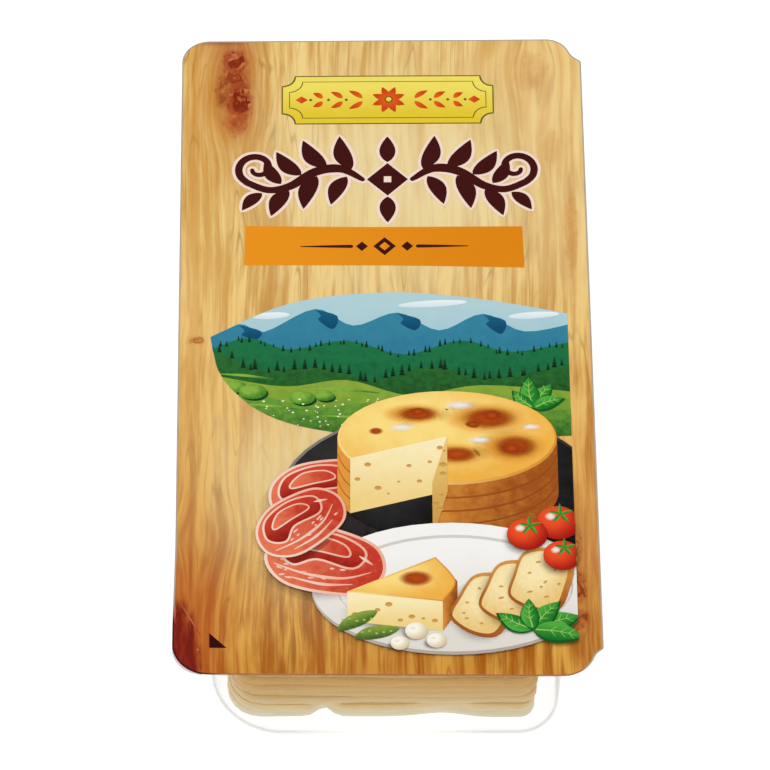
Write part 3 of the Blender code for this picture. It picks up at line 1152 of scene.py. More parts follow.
@dataclass
class CheesePiles:
    """Two piles of slices, each slice a piece of its own."""

    finish: Cheese = field(default_factory=Cheese)
    piles: tuple[str, str] = ("near", "far")
    per_pile: int = 8
    shown_thickness: float = 3.57
    rim: float = 0.08
    smooth_under: float = math.radians(50.0)
    flat_over: float = 0.99

    def build(self) -> list[bpy.types.Object]:
        """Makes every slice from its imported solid.

        Returns:
            The pieces.
        """
        finish = self.finish.make()
        pieces = []
        for pile in self.piles:
            for number in range(1, self.per_pile + 1):
                pieces.append(self.slice(f"slice_{pile}_{number}", f"cheese_{pile}_{number}", finish))
        return pieces

    def slice(self, node: str, name: str, finish: bpy.types.Material) -> bpy.types.Object:
        """Makes one slice: fitted to its neighbours, with softened rims.

        Args:
            node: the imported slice.
            name: the piece's name.
            finish: the cheese.

        Returns:
            The piece.
        """
        work = node_copy(node, 1.0 / MM)
        heights = [vert.co.z for vert in work.verts]
        middle = (min(heights) + max(heights)) / 2.0
        stretch = self.shown_thickness / (max(heights) - min(heights))
        turned = Matrix.Translation((0.0, 0.0, -middle))
        bmesh.ops.scale(work, vec=(1.0, 1.0, stretch), space=turned, verts=work.verts)
        rims = [edge for edge in work.edges if self.is_rim(edge)]
        bmesh.ops.bevel(
            work, geom=rims, offset=self.rim, segments=2, affect="EDGES", profile=0.5, material=-1
        )
        for face in work.faces:
            face.smooth = abs(face.normal.z) < self.flat_over
        bmesh.ops.scale(work, vec=(MM, MM, MM), verts=work.verts)
        piece = piece_from(work, name, [finish])
        piece.data.set_sharp_from_angle(angle=self.smooth_under)
        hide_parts(node)
        return piece

    def is_rim(self, edge: bmesh.types.BMEdge) -> bool:
        """Whether an edge lies between a slice's flat face and its side."""
        flat = [abs(face.normal.z) > LEVEL_OVER for face in edge.link_faces]
        return len(flat) == 2 and flat[0] != flat[1]


class Pen:
    """Draws the outlines of fields of ink, in millimetres on the film."""

    @staticmethod
    def ellipse(
        x: float,
        y: float,
        wide: float,
        tall: float,
        turn: float = 0.0,
        sweep: tuple[float, float] = (0.0, 360.0),
        sides: int = 44,
    ) -> Outline:
        """An ellipse, or the stretch of one between two angles.

        Args:
            x: its middle across.
            y: its middle along.
            wide: half its width.
            tall: half its height.
            turn: how far it is turned, in degrees.
            sweep: the first and last angle, in degrees.
            sides: the most points it has.

        Returns:
            The outline.
        """
        whole = sweep[1] - sweep[0] >= 360.0
        steps = sides if whole else max(4, round(sides * (sweep[1] - sweep[0]) / 360.0))
        points = []
        for number in range(steps if whole else steps + 1):
            angle = math.radians(sweep[0] + (sweep[1] - sweep[0]) * number / steps)
            points.append((wide * math.cos(angle), tall * math.sin(angle)))
        return Pen.placed(points, x, y, turn)

    @staticmethod
    def placed(points: Outline, x: float, y: float, turn: float = 0.0) -> Outline:
        """Turns an outline by some degrees and moves it."""
        cos, sin = math.cos(math.radians(turn)), math.sin(math.radians(turn))
        return [(x + u * cos - v * sin, y + u * sin + v * cos) for u, v in points]

    @staticmethod
    def mirrored(points: Outline, about: float) -> Outline:
        """The outline on the other side of an upright line."""
        return [(2.0 * about - x, y) for x, y in reversed(points)]

    @staticmethod
    def flow(points: Outline, steps: int = 6, closed: bool = True) -> Outline:
        """A smooth curve through points; a point given twice is a corner.

        Args:
            points: what it runs through.
            steps: its points for each given one.
            closed: whether it comes back to its start.

        Returns:
            The curve.
        """
        count = len(points)
        curve = []
        for number in range(count if closed else count - 1):
            picks = [number - 1, number, number + 1, number + 2]
            if not closed:
                picks = [min(max(pick, 0), count - 1) for pick in picks]
            a, b, c, d = (points[pick % count] for pick in picks)
            if b == c:
                continue
            for step in range(steps):
                curve.append(Pen.between(a, b, c, d, step / steps))
        if not closed:
            curve.append(points[-1])
        return curve

    @staticmethod
    def between(a: Sequence, b: Sequence, c: Sequence, d: Sequence, t: float) -> tuple:
        """A point on the smooth curve from b to c, whose neighbours are a and d."""
        place = []
        for p, q, r, s in zip(a, b, c, d):
            slope, bend = r - p, 2.0 * p - 5.0 * q + 4.0 * r - s
            place.append(q + 0.5 * t * (slope + t * (bend + t * (3.0 * (q - r) + s - p))))
        return (place[0], place[1])

    @staticmethod
    def stroke(spine: Outline, widths: Sequence[float], steps: int = 6) -> Outline:
        """A brush stroke with round ends along a smooth spine.

        Args:
            spine: what its middle runs through.
            widths: its width at even stretches of the spine.
            steps: points of the curve for each point of the spine.

        Returns:
            The outline.
        """
        curve = Pen.flow(spine, steps, closed=False)
        left, right = [], []
        last = len(curve) - 1
        for number, (x, y) in enumerate(curve):
            before, after = curve[max(number - 1, 0)], curve[min(number + 1, last)]
            along = Vector((after[0] - before[0], after[1] - before[1])).normalized()
            share = number / last * (len(widths) - 1)
            low = min(int(share), len(widths) - 2)
            half = (widths[low] + (widths[low + 1] - widths[low]) * (share - low)) / 2.0
            left.append((x - along.y * half, y + along.x * half))
            right.append((x + along.y * half, y - along.x * half))
        ends = [Pen.cap(right[-1], left[-1]), Pen.cap(left[0], right[0])]
        return right + ends[0] + left[::-1] + ends[1]

    @staticmethod
    def cap(first: Sequence, last: Sequence) -> Outline:
        """The points of a half circle from one point round to another."""
        x, y = (first[0] + last[0]) / 2.0, (first[1] + last[1]) / 2.0
        u, v = first[0] - x, first[1] - y
        points = []
        for number in range(1, 4):
            angle = math.pi * number / 4.0
            cos, sin = math.cos(angle), math.sin(angle)
            points.append((x + u * cos - v * sin, y + u * sin + v * cos))
        return points

    @staticmethod
    def leaf(
        x: float, y: float, length: float, width: float, turn: float, bend: float = 0.0
    ) -> Outline:
        """A pointed leaf from its stalk at a place.

        Args:
            x: the stalk's place across.
            y: the stalk's place along.
            length: from stalk to tip.
            width: at its widest.
            turn: which way it points, in degrees.
            bend: how far its middle is off the straight line.

        Returns:
            The outline.
        """
        upper, lower = [], []
        steps = 12
        for number in range(steps + 1):
            t = number / steps
            half = width / 2.0 * math.sin(math.pi * t ** 0.82) ** 0.9 if 0 < number < steps else 0.0
            middle = bend * math.sin(math.pi * t)
            upper.append((length * t, middle + half))
            if 0 < number < steps:
                lower.append((length * t, middle - half))
        return Pen.placed(lower + upper[::-1], x, y, turn)

    @staticmethod
    def grown(points: Outline, by: float) -> Outline:
        """The outline moved outwards on all sides.

        Args:
            points: the outline.
            by: how far.

        Returns:
            The larger outline.
        """
        count = len(points)
        area = 0.0
        for number in range(count):
            (x0, y0), (x1, y1) = points[number], points[(number + 1) % count]
            area += x0 * y1 - x1 * y0
        side = 1.0 if area > 0.0 else -1.0
        larger = []
        for number, (x, y) in enumerate(points):
            before, after = points[number - 1], points[(number + 1) % count]
            first = Vector((x - before[0], y - before[1]))
            second = Vector((after[0] - x, after[1] - y))
            if first.length < 1e-6 or second.length < 1e-6:
                continue
            out = first.normalized() + second.normalized()
            if out.length < 0.2:
                out = first
            out.normalize()
            larger.append((x + out.y * by * side, y - out.x * by * side))
        return larger

    @staticmethod
    def trimmed(points: Outline, frame_outline: Outline) -> Outline:
        """The part of an outline inside another that bulges everywhere.

        Args:
            points: the outline to trim.
            frame_outline: the outline that it must stay in, run anticlockwise.

        Returns:
            What is left of it.
        """
        kept = points
        for number, start in enumerate(frame_outline):
            end = frame_outline[(number + 1) % len(frame_outline)]
            along = (end[0] - start[0], end[1] - start[1])
            sides = [along[0] * (y - start[1]) - along[1] * (x - start[0]) for x, y in kept]
            trimmed = []
            for index, here in enumerate(kept):
                there, side, other = kept[index - 1], sides[index], sides[index - 1]
                if (side >= 0.0) != (other >= 0.0):
                    share = side / (side - other)
                    x = here[0] + (there[0] - here[0]) * share
                    trimmed.append((x, here[1] + (there[1] - here[1]) * share))
                if side >= 0.0:
                    trimmed.append(here)
            kept = trimmed
            if not kept:
                break
        return kept

    @staticmethod
    def tidied(points: Outline, least: float = 0.02) -> Outline:
        """The outline without points that fall on each other."""
        kept = []
        for point in points:
            if not kept or math.dist(point, kept[-1]) > least:
                kept.append(point)
        while len(kept) > 2 and math.dist(kept[0], kept[-1]) <= least:
            kept.pop()
        return kept


@dataclass(frozen=True)
class Field:
    """One closed patch of an ink: its outline, its height and its own frame."""

    outline: Outline
    level: int
    turn: float
    middle: tuple[float, float]
    half: tuple[float, float]

    def local(self, x: float, y: float) -> tuple[float, float]:
        """A place on the film in the field's own frame, from 0 to 1 each way."""
        cos, sin = math.cos(math.radians(self.turn)), math.sin(math.radians(self.turn))
        off_x, off_y = x - self.middle[0], y - self.middle[1]
        u, v = off_x * cos + off_y * sin, off_y * cos - off_x * sin
        return 0.5 + 0.5 * u / self.half[0], 0.5 + 0.5 * v / self.half[1]


class Press:
    """Lays fields of ink on the film, each above what it overlaps."""

    cell = 0.8
    smooth_under = math.radians(40.0)
    least_half = 0.01

    def __init__(self) -> None:
        """Starts with a bare film."""
        self.fields: dict[Inks, list[Field]] = {}
        self.heights: dict[tuple[int, int], int] = {}

    def lay(
        self,
        ink: "Inks",
        outline: Outline,
        turn: float = 0.0,
        inside: Outline | None = None,
    ) -> None:
        """Adds one field of ink.

        Args:
            ink: the ink.
            outline: where it goes.
            turn: how its shading is turned, in degrees.
            inside: an outline that it is trimmed to.
        """
        points = Pen.tidied(Pen.trimmed(outline, inside) if inside else outline)
        if len(points) < 3:
            return
        points, outline = LIE.askew(points), LIE.askew(outline)
        cells = self.covered(points)
        level = 1 + max(self.heights.get(cell, 0) for cell in cells)
        for cell in cells:
            self.heights[cell] = level
        middle, half = self.frame_of(outline, turn)
        self.fields.setdefault(ink, []).append(Field(points, level, turn, middle, half))

    def frame_of(self, points: Outline, turn: float) -> tuple[tuple, tuple]:
        """The middle and half size of an outline in a turned frame."""
        flat = Pen.placed(points, 0.0, 0.0, -turn)
        low = [min(point[axis] for point in flat) for axis in (0, 1)]
        high = [max(point[axis] for point in flat) for axis in (0, 1)]
        centre = [((low[0] + high[0]) / 2.0, (low[1] + high[1]) / 2.0)]
        middle = Pen.placed(centre, 0.0, 0.0, turn)[0]
        half = tuple(max((high[axis] - low[axis]) / 2.0, self.least_half) for axis in (0, 1))
        return middle, half

    def covered(self, points: Outline) -> set[tuple[int, int]]:
        """The small cells of the film that an outline touches or holds.

        Args:
            points: the outline.

        Returns:
            The cells.
        """
        cells = set()
        rows: dict[int, list[float]] = {}
        for number, (x1, y1) in enumerate(points):
            x0, y0 = points[number - 1]
            steps = 1 + int(math.dist((x0, y0), (x1, y1)) / (self.cell / 2.0))
            for step in range(steps + 1):
                x, y = x0 + (x1 - x0) * step / steps, y0 + (y1 - y0) * step / steps
                cells.add((math.floor(x / self.cell), math.floor(y / self.cell)))
            low, high = sorted((y0, y1))
            for row in range(math.ceil(low / self.cell - 0.5), math.ceil(high / self.cell - 0.5)):
                share = ((row + 0.5) * self.cell - y0) / (y1 - y0)
                rows.setdefault(row, []).append(x0 + (x1 - x0) * share)
        for row, crossings in rows.items():
            crossings.sort()
            for first, last in zip(crossings[::2], crossings[1::2]):
                for column in range(math.floor(first / self.cell), math.floor(last / self.cell) + 1):
                    cells.add((column, row))
        return cells

    def build(self) -> list[bpy.types.Object]:
        """Makes a piece of each ink.

        Returns:
            The pieces.
        """
        return [self.sheet(ink, fields) for ink, fields in self.fields.items()]

    def sheet(self, ink: "Inks", fields: list[Field]) -> bpy.types.Object:
        """Makes the thin closed fields of one ink, which follow the film.

        Args:
            ink: the ink.
            fields: its fields.

        Returns:
            The piece.
        """
        whole = bmesh.new()
        layer = whole.loops.layers.uv.new("Field")
        for patch in fields:
            work = bmesh.new()
            work.loops.layers.uv.new("Field")
            z = LIE.face + patch.level * LIE.level_step
            corners = [work.verts.new((x, y, z)) for x, y in patch.outline]
            work.faces.new(corners)
            LIE.cut(work)
            thicken(work, LIE.ink_thickness)
            uv = work.loops.layers.uv["Field"]
            for face in work.faces:
                face.smooth = abs(face.normal.z) > 0.5
                for loop in face.loops:
                    loop[uv].uv = patch.local(loop.vert.co.x, loop.vert.co.y)
            spare = bpy.data.meshes.new("field")
            work.to_mesh(spare)
            work.free()
            whole.from_mesh(spare)
            bpy.data.meshes.remove(spare)
        LIE.drape(whole)
        piece = piece_from(whole, "print_" + ink.value.name, [ink.value.make()])
        piece.data.set_sharp_from_angle(angle=self.smooth_under)
        return piece


@dataclass
class Plaque:
    """The yellow plaque at the head of the film, with a plain ornament."""

    x: float = 1.5
    y: float = 99.7
    wide: float = 34.0
    tall: float = 9.6
    scoop: float = 4.2
    line: float = 0.55
    motif_pitch: float = 6.4
    petals: int = 8
    petal: Pair = (5.6, 2.5)
    leaf_pairs: int = 3
    leaf_from: float = 8.4
    leaf_off: float = 0.7
    leaf_width: float = 1.9
    leaf_bend: float = 0.3
    leaf_size: float = 5.4
    leaf_shrink: float = 0.8
    leaf_tilt: float = 34.0
    eye: Pair = (1.35, 0.9)
    dot: float = 0.6
    tip: Pair = (2.0, 1.5)
    tip_gap: float = 0.4
    frame_inset: float = 2.0
    frame_line: float = 0.35

    def draw(self, press: Press) -> None:
        """Prints the plaque.

        Args:
            press: where its fields go.
        """
        shape = self.scooped(self.wide, self.tall)
        press.lay(Inks.OLIVE, Pen.grown(shape, self.line))
        press.lay(Inks.PLAQUE, shape)
        inner = self.scooped(self.wide - self.frame_inset, self.tall - self.frame_inset)
        press.lay(Inks.OLIVE, inner)
        press.lay(Inks.PLAQUE, Pen.grown(inner, -self.frame_line))
        self.ornament(press)

    def scooped(self, wide: float, tall: float) -> Outline:
        """A rectangle with its corners scooped out."""
        points: Outline = []
        for right, up, first in ((1, 1, 270.0), (-1, 1, 360.0), (-1, -1, 90.0), (1, -1, 180.0)):
            x, y = self.x + right * wide, self.y + up * tall
            arc = Pen.ellipse(x, y, self.scoop, self.scoop, sweep=(first - 90.0, first), sides=32)
            points += arc[::-1]
        return points

    def ornament(self, press: Press) -> None:
        """A flower in the middle and pairs of leaves running out to both ends."""
        for number in range(self.petals):
            turn = (number + 0.5) * 360.0 / self.petals
            press.lay(Inks.MOTIF, Pen.leaf(self.x, self.y, *self.petal, turn), turn)
        for ink, size in zip((Inks.OLIVE, Inks.PLAQUE), self.eye):
            press.lay(ink, Pen.ellipse(self.x, self.y, size, size, sides=20))
        for side in (-1, 1):
            lean = 0.0 if side > 0 else 180.0
            for step in range(self.leaf_pairs):
                x = self.x + side * (self.leaf_from + step * self.motif_pitch)
                size = self.leaf_size - step * self.leaf_shrink
                for tilt in (1.0, -1.0):
                    turn = lean + side * tilt * self.leaf_tilt
                    start, bend = self.y + tilt * self.leaf_off, tilt * side * self.leaf_bend
                    press.lay(Inks.MOTIF, Pen.leaf(x, start, size, self.leaf_width, turn, bend), turn)
                middle = x + side * (size * 0.86 + self.dot)
                press.lay(Inks.OLIVE, Pen.ellipse(middle, self.y, self.dot, self.dot, sides=4))
            x = self.x + side * (self.leaf_from + self.tip_gap + self.leaf_pairs * self.motif_pitch)
            press.lay(Inks.MOTIF, Pen.ellipse(x, self.y, *self.tip, sides=4))


@dataclass
class Flourish:
    """The wide maroon spray of leaves under the plaque, with its pale halo."""

    x: float = 1.0
    y: float = 67.0
    halo: float = 1.0
    bud: Pair = (10.5, 5.2)
    stem: Points = ((8.0, 0.0), (15.0, 4.4), (23.0, 3.2), (31.0, -2.6), (38.0, -4.2))
    stem_widths: tuple = (1.6, 3.4, 3.2, 2.6, 2.4)
    diamond: float = 6.6
    diamond_eye: float = 1.7
    bud_off: float = 7.0
    curl_at: Pair = (41.6, 4.6)
    curl_radius: float = 6.6
    curl_shrink: float = 0.74
    curl_from: float = -62.0
    curl_turn: float = 400.0
    curl_points: int = 15
    curl_widths: tuple = (2.4, 2.4, 2.0, 1.4)
    leaves: tuple = (
        (11.5, 4.2, 14.0, 5.6, 74.0, -1.2),
        (13.0, 1.2, 12.5, 5.2, -66.0, 1.0),
        (19.5, 4.8, 13.5, 5.6, 56.0, -1.3),
        (22.5, 1.4, 14.0, 5.6, -72.0, 1.2),
        (27.5, 1.8, 12.5, 5.2, 50.0, -1.1),
        (31.5, -4.2, 12.0, 5.2, -62.0, 1.0),
        (34.0, -1.8, 11.0, 4.6, 62.0, -0.8),
        (40.0, -5.4, 9.5, 4.2, -48.0, 0.7),
    )

    def draw(self, press: Press) -> None:
        """Prints the spray, its halo first.

        Args:
            press: where its fields go.
        """
        shapes = self.shapes()
        for outline in shapes:
            press.lay(Inks.HALO, Pen.grown(outline, self.halo))
        for outline in shapes:
            press.lay(Inks.MAROON, outline)
        eye = Pen.ellipse(self.x, self.y, self.diamond_eye, self.diamond_eye, 45.0, sides=4)
        press.lay(Inks.HALO, eye)

    def shapes(self) -> list[Outline]:
        """The strokes and leaves of both halves and of the middle.

        Returns:
            Their outlines.
        """
        half = self.branch()
        middle = [
            Pen.ellipse(self.x, self.y, self.diamond, self.diamond, 0.0, sides=4),
            Pen.leaf(self.x, self.y + self.bud_off, *self.bud, 90.0),
            Pen.leaf(self.x, self.y - self.bud_off, *self.bud, -90.0),
        ]
        return middle + half + [Pen.mirrored(outline, self.x) for outline in half]

    def branch(self) -> list[Outline]:
        """The right half: a waved stem, its leaves and a curl at its end.

        Returns:
            Their outlines.
        """
        last = self.curl_points - 1
        stem = Pen.placed([*self.stem, self.spiral(0.0)], self.x, self.y)
        curl = [self.spiral(step / last) for step in range(self.curl_points)]
        curl = Pen.placed(curl, self.x, self.y)
        shapes = [Pen.stroke(stem, self.stem_widths), Pen.stroke(curl, self.curl_widths, 3)]
        for u, v, length, width, turn, bend in self.leaves:
            shapes.append(Pen.leaf(self.x + u, self.y + v, length, width, turn, bend))
        return shapes

    def spiral(self, share: float) -> tuple[float, float]:
        """A point of the curl that ends a branch, from its start to its eye."""
        radius = self.curl_radius * (1.0 - self.curl_shrink * share)
        angle = math.radians(self.curl_from + self.curl_turn * share)
        x, y = self.curl_at
        return x + radius * math.cos(angle), y + radius * math.sin(angle)


@dataclass
class Band:
    """The orange band under the spray, with a plain rule."""

    corners: Points = ((-44.2, 48.3), (44.1, 47.8), (44.5, 31.3), (-44.5, 32.5))
    bow: float = 0.35
    ring: Pair = (3.6, 1.7)
    dot: float = 1.9
    dot_off: float = 7.2
    rule_from: float = 10.6
    rule_step: float = 4.0
    rule_widths: tuple = (1.3, 0.9, 0.3)

    def draw(self, press: Press) -> None:
        """Prints the band.

        Args:
            press: where its fields go.
        """
        edge: Outline = []
        for number, corner in enumerate(self.corners):
            after = self.corners[(number + 1) % len(self.corners)]
            middle = ((corner[0] + after[0]) / 2.0, (corner[1] + after[1]) / 2.0)
            inward = self.bow if number == 2 else -self.bow if number == 0 else 0.0
            edge += [corner, corner, (middle[0], middle[1] + inward)]
        press.lay(Inks.BAND, Pen.flow(edge, 8))
        x = sum(corner[0] for corner in self.corners) / 4.0
        y = sum(corner[1] for corner in self.corners) / 4.0
        for ink, size in zip((Inks.MAROON, Inks.BAND), self.ring):
            press.lay(ink, Pen.ellipse(x, y, size, size, sides=4))
        for side in (-1, 1):
            middle = x + side * self.dot_off
            press.lay(Inks.MAROON, Pen.ellipse(middle, y, self.dot, self.dot, sides=4))
            spine = [(x + side * (self.rule_from + step * self.rule_step), y) for step in range(5)]
            press.lay(Inks.MAROON, Pen.stroke(spine, self.rule_widths))


class Picture:
    """A drawing whose fields are trimmed to its own outline."""

    def start(self, press: Press, outline: Outline) -> None:
        """Starts printing on a press, inside an outline."""
        self.press = press
        self.outline = outline

    def lay(self, ink: "Inks", outline: Outline, turn: float = 0.0) -> None:
        """Prints one field, trimmed to the drawing's outline."""
        self.press.lay(ink, outline, turn, self.outline)

    def oval(
        self,
        ink: "Inks",
        x: float,
        y: float,
        wide: float,
        tall: float,
        turn: float = 0.0,
        sides: int = 44,
    ) -> None:
        """Prints an ellipse, whose shading stays upright.

        Args:
            ink: the ink.
            x: its middle across.
            y: its middle along.
            wide: half its width.
            tall: half its height.
            turn: how far it is turned, in degrees.
            sides: how many points it has.
        """
        self.lay(ink, Pen.ellipse(x, y, wide, tall, turn, sides=sides))


@dataclass
class Landscape(Picture):
    """The strip of hills and meadows behind the still life."""

    left: float = -55.0
    right: float = 57.6
    crest: float = 21.5
    foot: float = -35.5
    seed: int = 11
    clouds: tuple = ((-36.0, 12.4, 6.0), (15.0, 17.0, 11.0), (47.0, 12.4, 8.0))
    cloud_tall: float = 1.3
    cloud_turn: float = 4.0
    far: Points = (
        (-60, 3), (-46, 9), (-38, 6), (-22, 15), (-10, 8.4),
        (4, 13.5), (17, 6.5), (31, 13), (44, 6), (62, 10),
    )
    gullies: tuple = ((-22, 15, 8.0), (4, 13.5, 7.0), (31, 13, 8.0), (-46, 9, 6.0))
    middle: Points = ((-60, -4), (-44, 3.5), (-30, -1), (-12, 2.5), (6, -3), (24, 2.5), (40, -2), (62, 3))
    near: Points = ((-60, 0), (-50, -3), (-40, -9), (-20, -8), (-4, -13), (14, -8), (34, -12), (62, -6))
    meadow: Points = ((-60, -9), (-46, -13), (-30, -15.5), (-12, -13), (8, -19), (30, -15), (62, -18))
    lower: Points = ((-60, -19), (-40, -19), (-22, -24), (-4, -22), (20, -27), (62, -24))
    far_firs: tuple[float, int, float] = (0.5, 46, 2.6)
    near_firs: tuple[float, int, float] = (0.0, 40, 4.2)
    bushes: tuple = ((-47.0, -15.6, 3.6), (-41.5, -17.6, 4.4), (-26.0, -20.0, 4.0), (-19.0, -19.2, 3.0))
    mown: tuple = ((-44.0, -11.2, 9.0), (-14.0, -16.6, 12.0), (-36.0, -23.0, 9.0), (-8.0, -27.5, 13.0))
    flowers: int = 70
    fir_shares: Pair = (0.65, 0.5)
    fir_width: float = 0.42
    below: float = 4.0

    def panel(self) -> Outline:
        """The strip's outline: arched above, bowed below, pointed at the left.

        Returns:
            The outline, anticlockwise.
        """
        tip = (self.left, 4.0)
        top_right, foot_right = (self.right, 13.0), (self.right, self.foot + 1.0)
        below = [(self.left + 4.0, -12.0), (-37.0, -26.5), (-14.0, self.foot + 2.0), (22.0, self.foot)]
        above = [(30.0, self.crest - 2.6), (0.0, self.crest), (-30.0, 17.2)]
        corners = [foot_right, foot_right, top_right, top_right]
        return Pen.flow([tip, tip, *below, *corners, *above])

    def draw(self, press: Press) -> None:
        """Prints the strip from back to front.

        Args:
            press: where its fields go.
        """
        panel = self.panel()
        self.start(press, panel)
        draws = random.Random(self.seed)
        press.lay(Inks.SKY, panel)
        for x, y, wide in self.clouds:
            self.oval(Inks.CLOUD, x, y, wide, self.cloud_tall, self.cloud_turn, 24)
        self.lay(Inks.FAR_HILL, self.ground(self.far))
        for x, y, down in self.gullies:
            start = (0.0, -0.3)
            fall = [start, start, (1.8, -2.6), (1.0, -4.4), (5.6, -down), (7.0, -2.8)]
            self.lay(Inks.HILL_SHADE, Pen.flow(Pen.placed(fall, x, y), 4))
        self.lay(Inks.DEEP_HILL, self.ground(self.middle))
        self.wood(draws, self.middle, *self.far_firs)
        self.lay(Inks.FOREST, self.ground(self.near))
        self.wood(draws, self.near, *self.near_firs)
        self.lay(Inks.MEADOW, self.ground(self.meadow))
        self.lay(Inks.GRASS, self.ground(self.lower))
        self.growth(draws)

    def ground(self, crest: Points) -> Outline:
        """A field from a crest line down past the strip's foot."""
        line = Pen.flow(crest, 5, closed=False)
        low = self.foot - self.below
        return [(line[0][0], low), (line[-1][0], low)] + line[::-1]

    def wood(
        self, draws: random.Random, crest: Points, sink: float, count: int, height: float
    ) -> None:
        """A row of firs along a crest.

        Args:
            draws: seeded draws.
            crest: the line that they stand on.
            sink: how far their feet are below it.
            count: how many stand across the strip.
            height: of a full fir.
        """
        line = Pen.flow(crest, 8, closed=False)
        for number in range(count):
            x = self.left + (self.right - self.left) * (number + draws.random() * 0.8) / count
            y = min(line, key=lambda point: abs(point[0] - x))[1] - sink - draws.random() * 1.2
            tall = height * (self.fir_shares[0] + self.fir_shares[1] * draws.random())
            self.lay(Inks.PINE, self.fir(x, y, tall, tall * self.fir_width))

    def fir(self, x: float, y: float, tall: float, wide: float) -> Outline:
        """A fir of three tiers, with its foot at a place.

        Args:
            x: its foot across.
            y: its foot along.
            tall: its height.
            wide: its width.

        Returns:
            The outline.
        """
        left, right = [], []
        for tier in range(3):
            out, up = wide * (0.5 - 0.13 * tier), 0.28 * tier
            for half, rise in ((out, tall * (0.04 + up)), (out * 0.42, tall * (0.30 + up))):
                left.append((x - half, y + rise))
                right.append((x + half, y + rise))
        return left + [(x, y + tall)] + right[::-1]

    def growth(self, draws: random.Random) -> None:
        """Round bushes, strips of mown grass and small flowers on the meadow."""
        for x, y, wide in self.bushes:
            self.oval(Inks.FOREST, x + 0.6, y - 0.8, wide, wide * 0.62, sides=20)
            self.oval(Inks.BUSH, x, y, wide, wide * 0.66, sides=20)
        for x, y, reach in self.mown:
            spine = [(x - reach, y + 0.7), (x, y), (x + reach, y - 1.4)]
            self.lay(Inks.BUSH, Pen.stroke(spine, (0.3, 1.1, 0.3), 4))
        for _ in range(self.flowers):
            x, y = draws.uniform(-50.0, 6.0), draws.uniform(-33.0, -20.0)
            size = draws.uniform(0.22, 0.48)
            self.oval(Inks.FLOWER, x, y, size, size * 0.7, sides=6)


@dataclass(frozen=True)
class Spot:
    """Where a shape that is drawn about nothing goes: its place, scale and turn."""

    x: float
    y: float
    size: float = 1.0
    turn: float = 0.0

    def put(self, points: Outline) -> Outline:
        """The shape, scaled, turned and placed."""
        sized = [(u * self.size, v * self.size) for u, v in points]
        return Pen.placed(sized, self.x, self.y, self.turn)


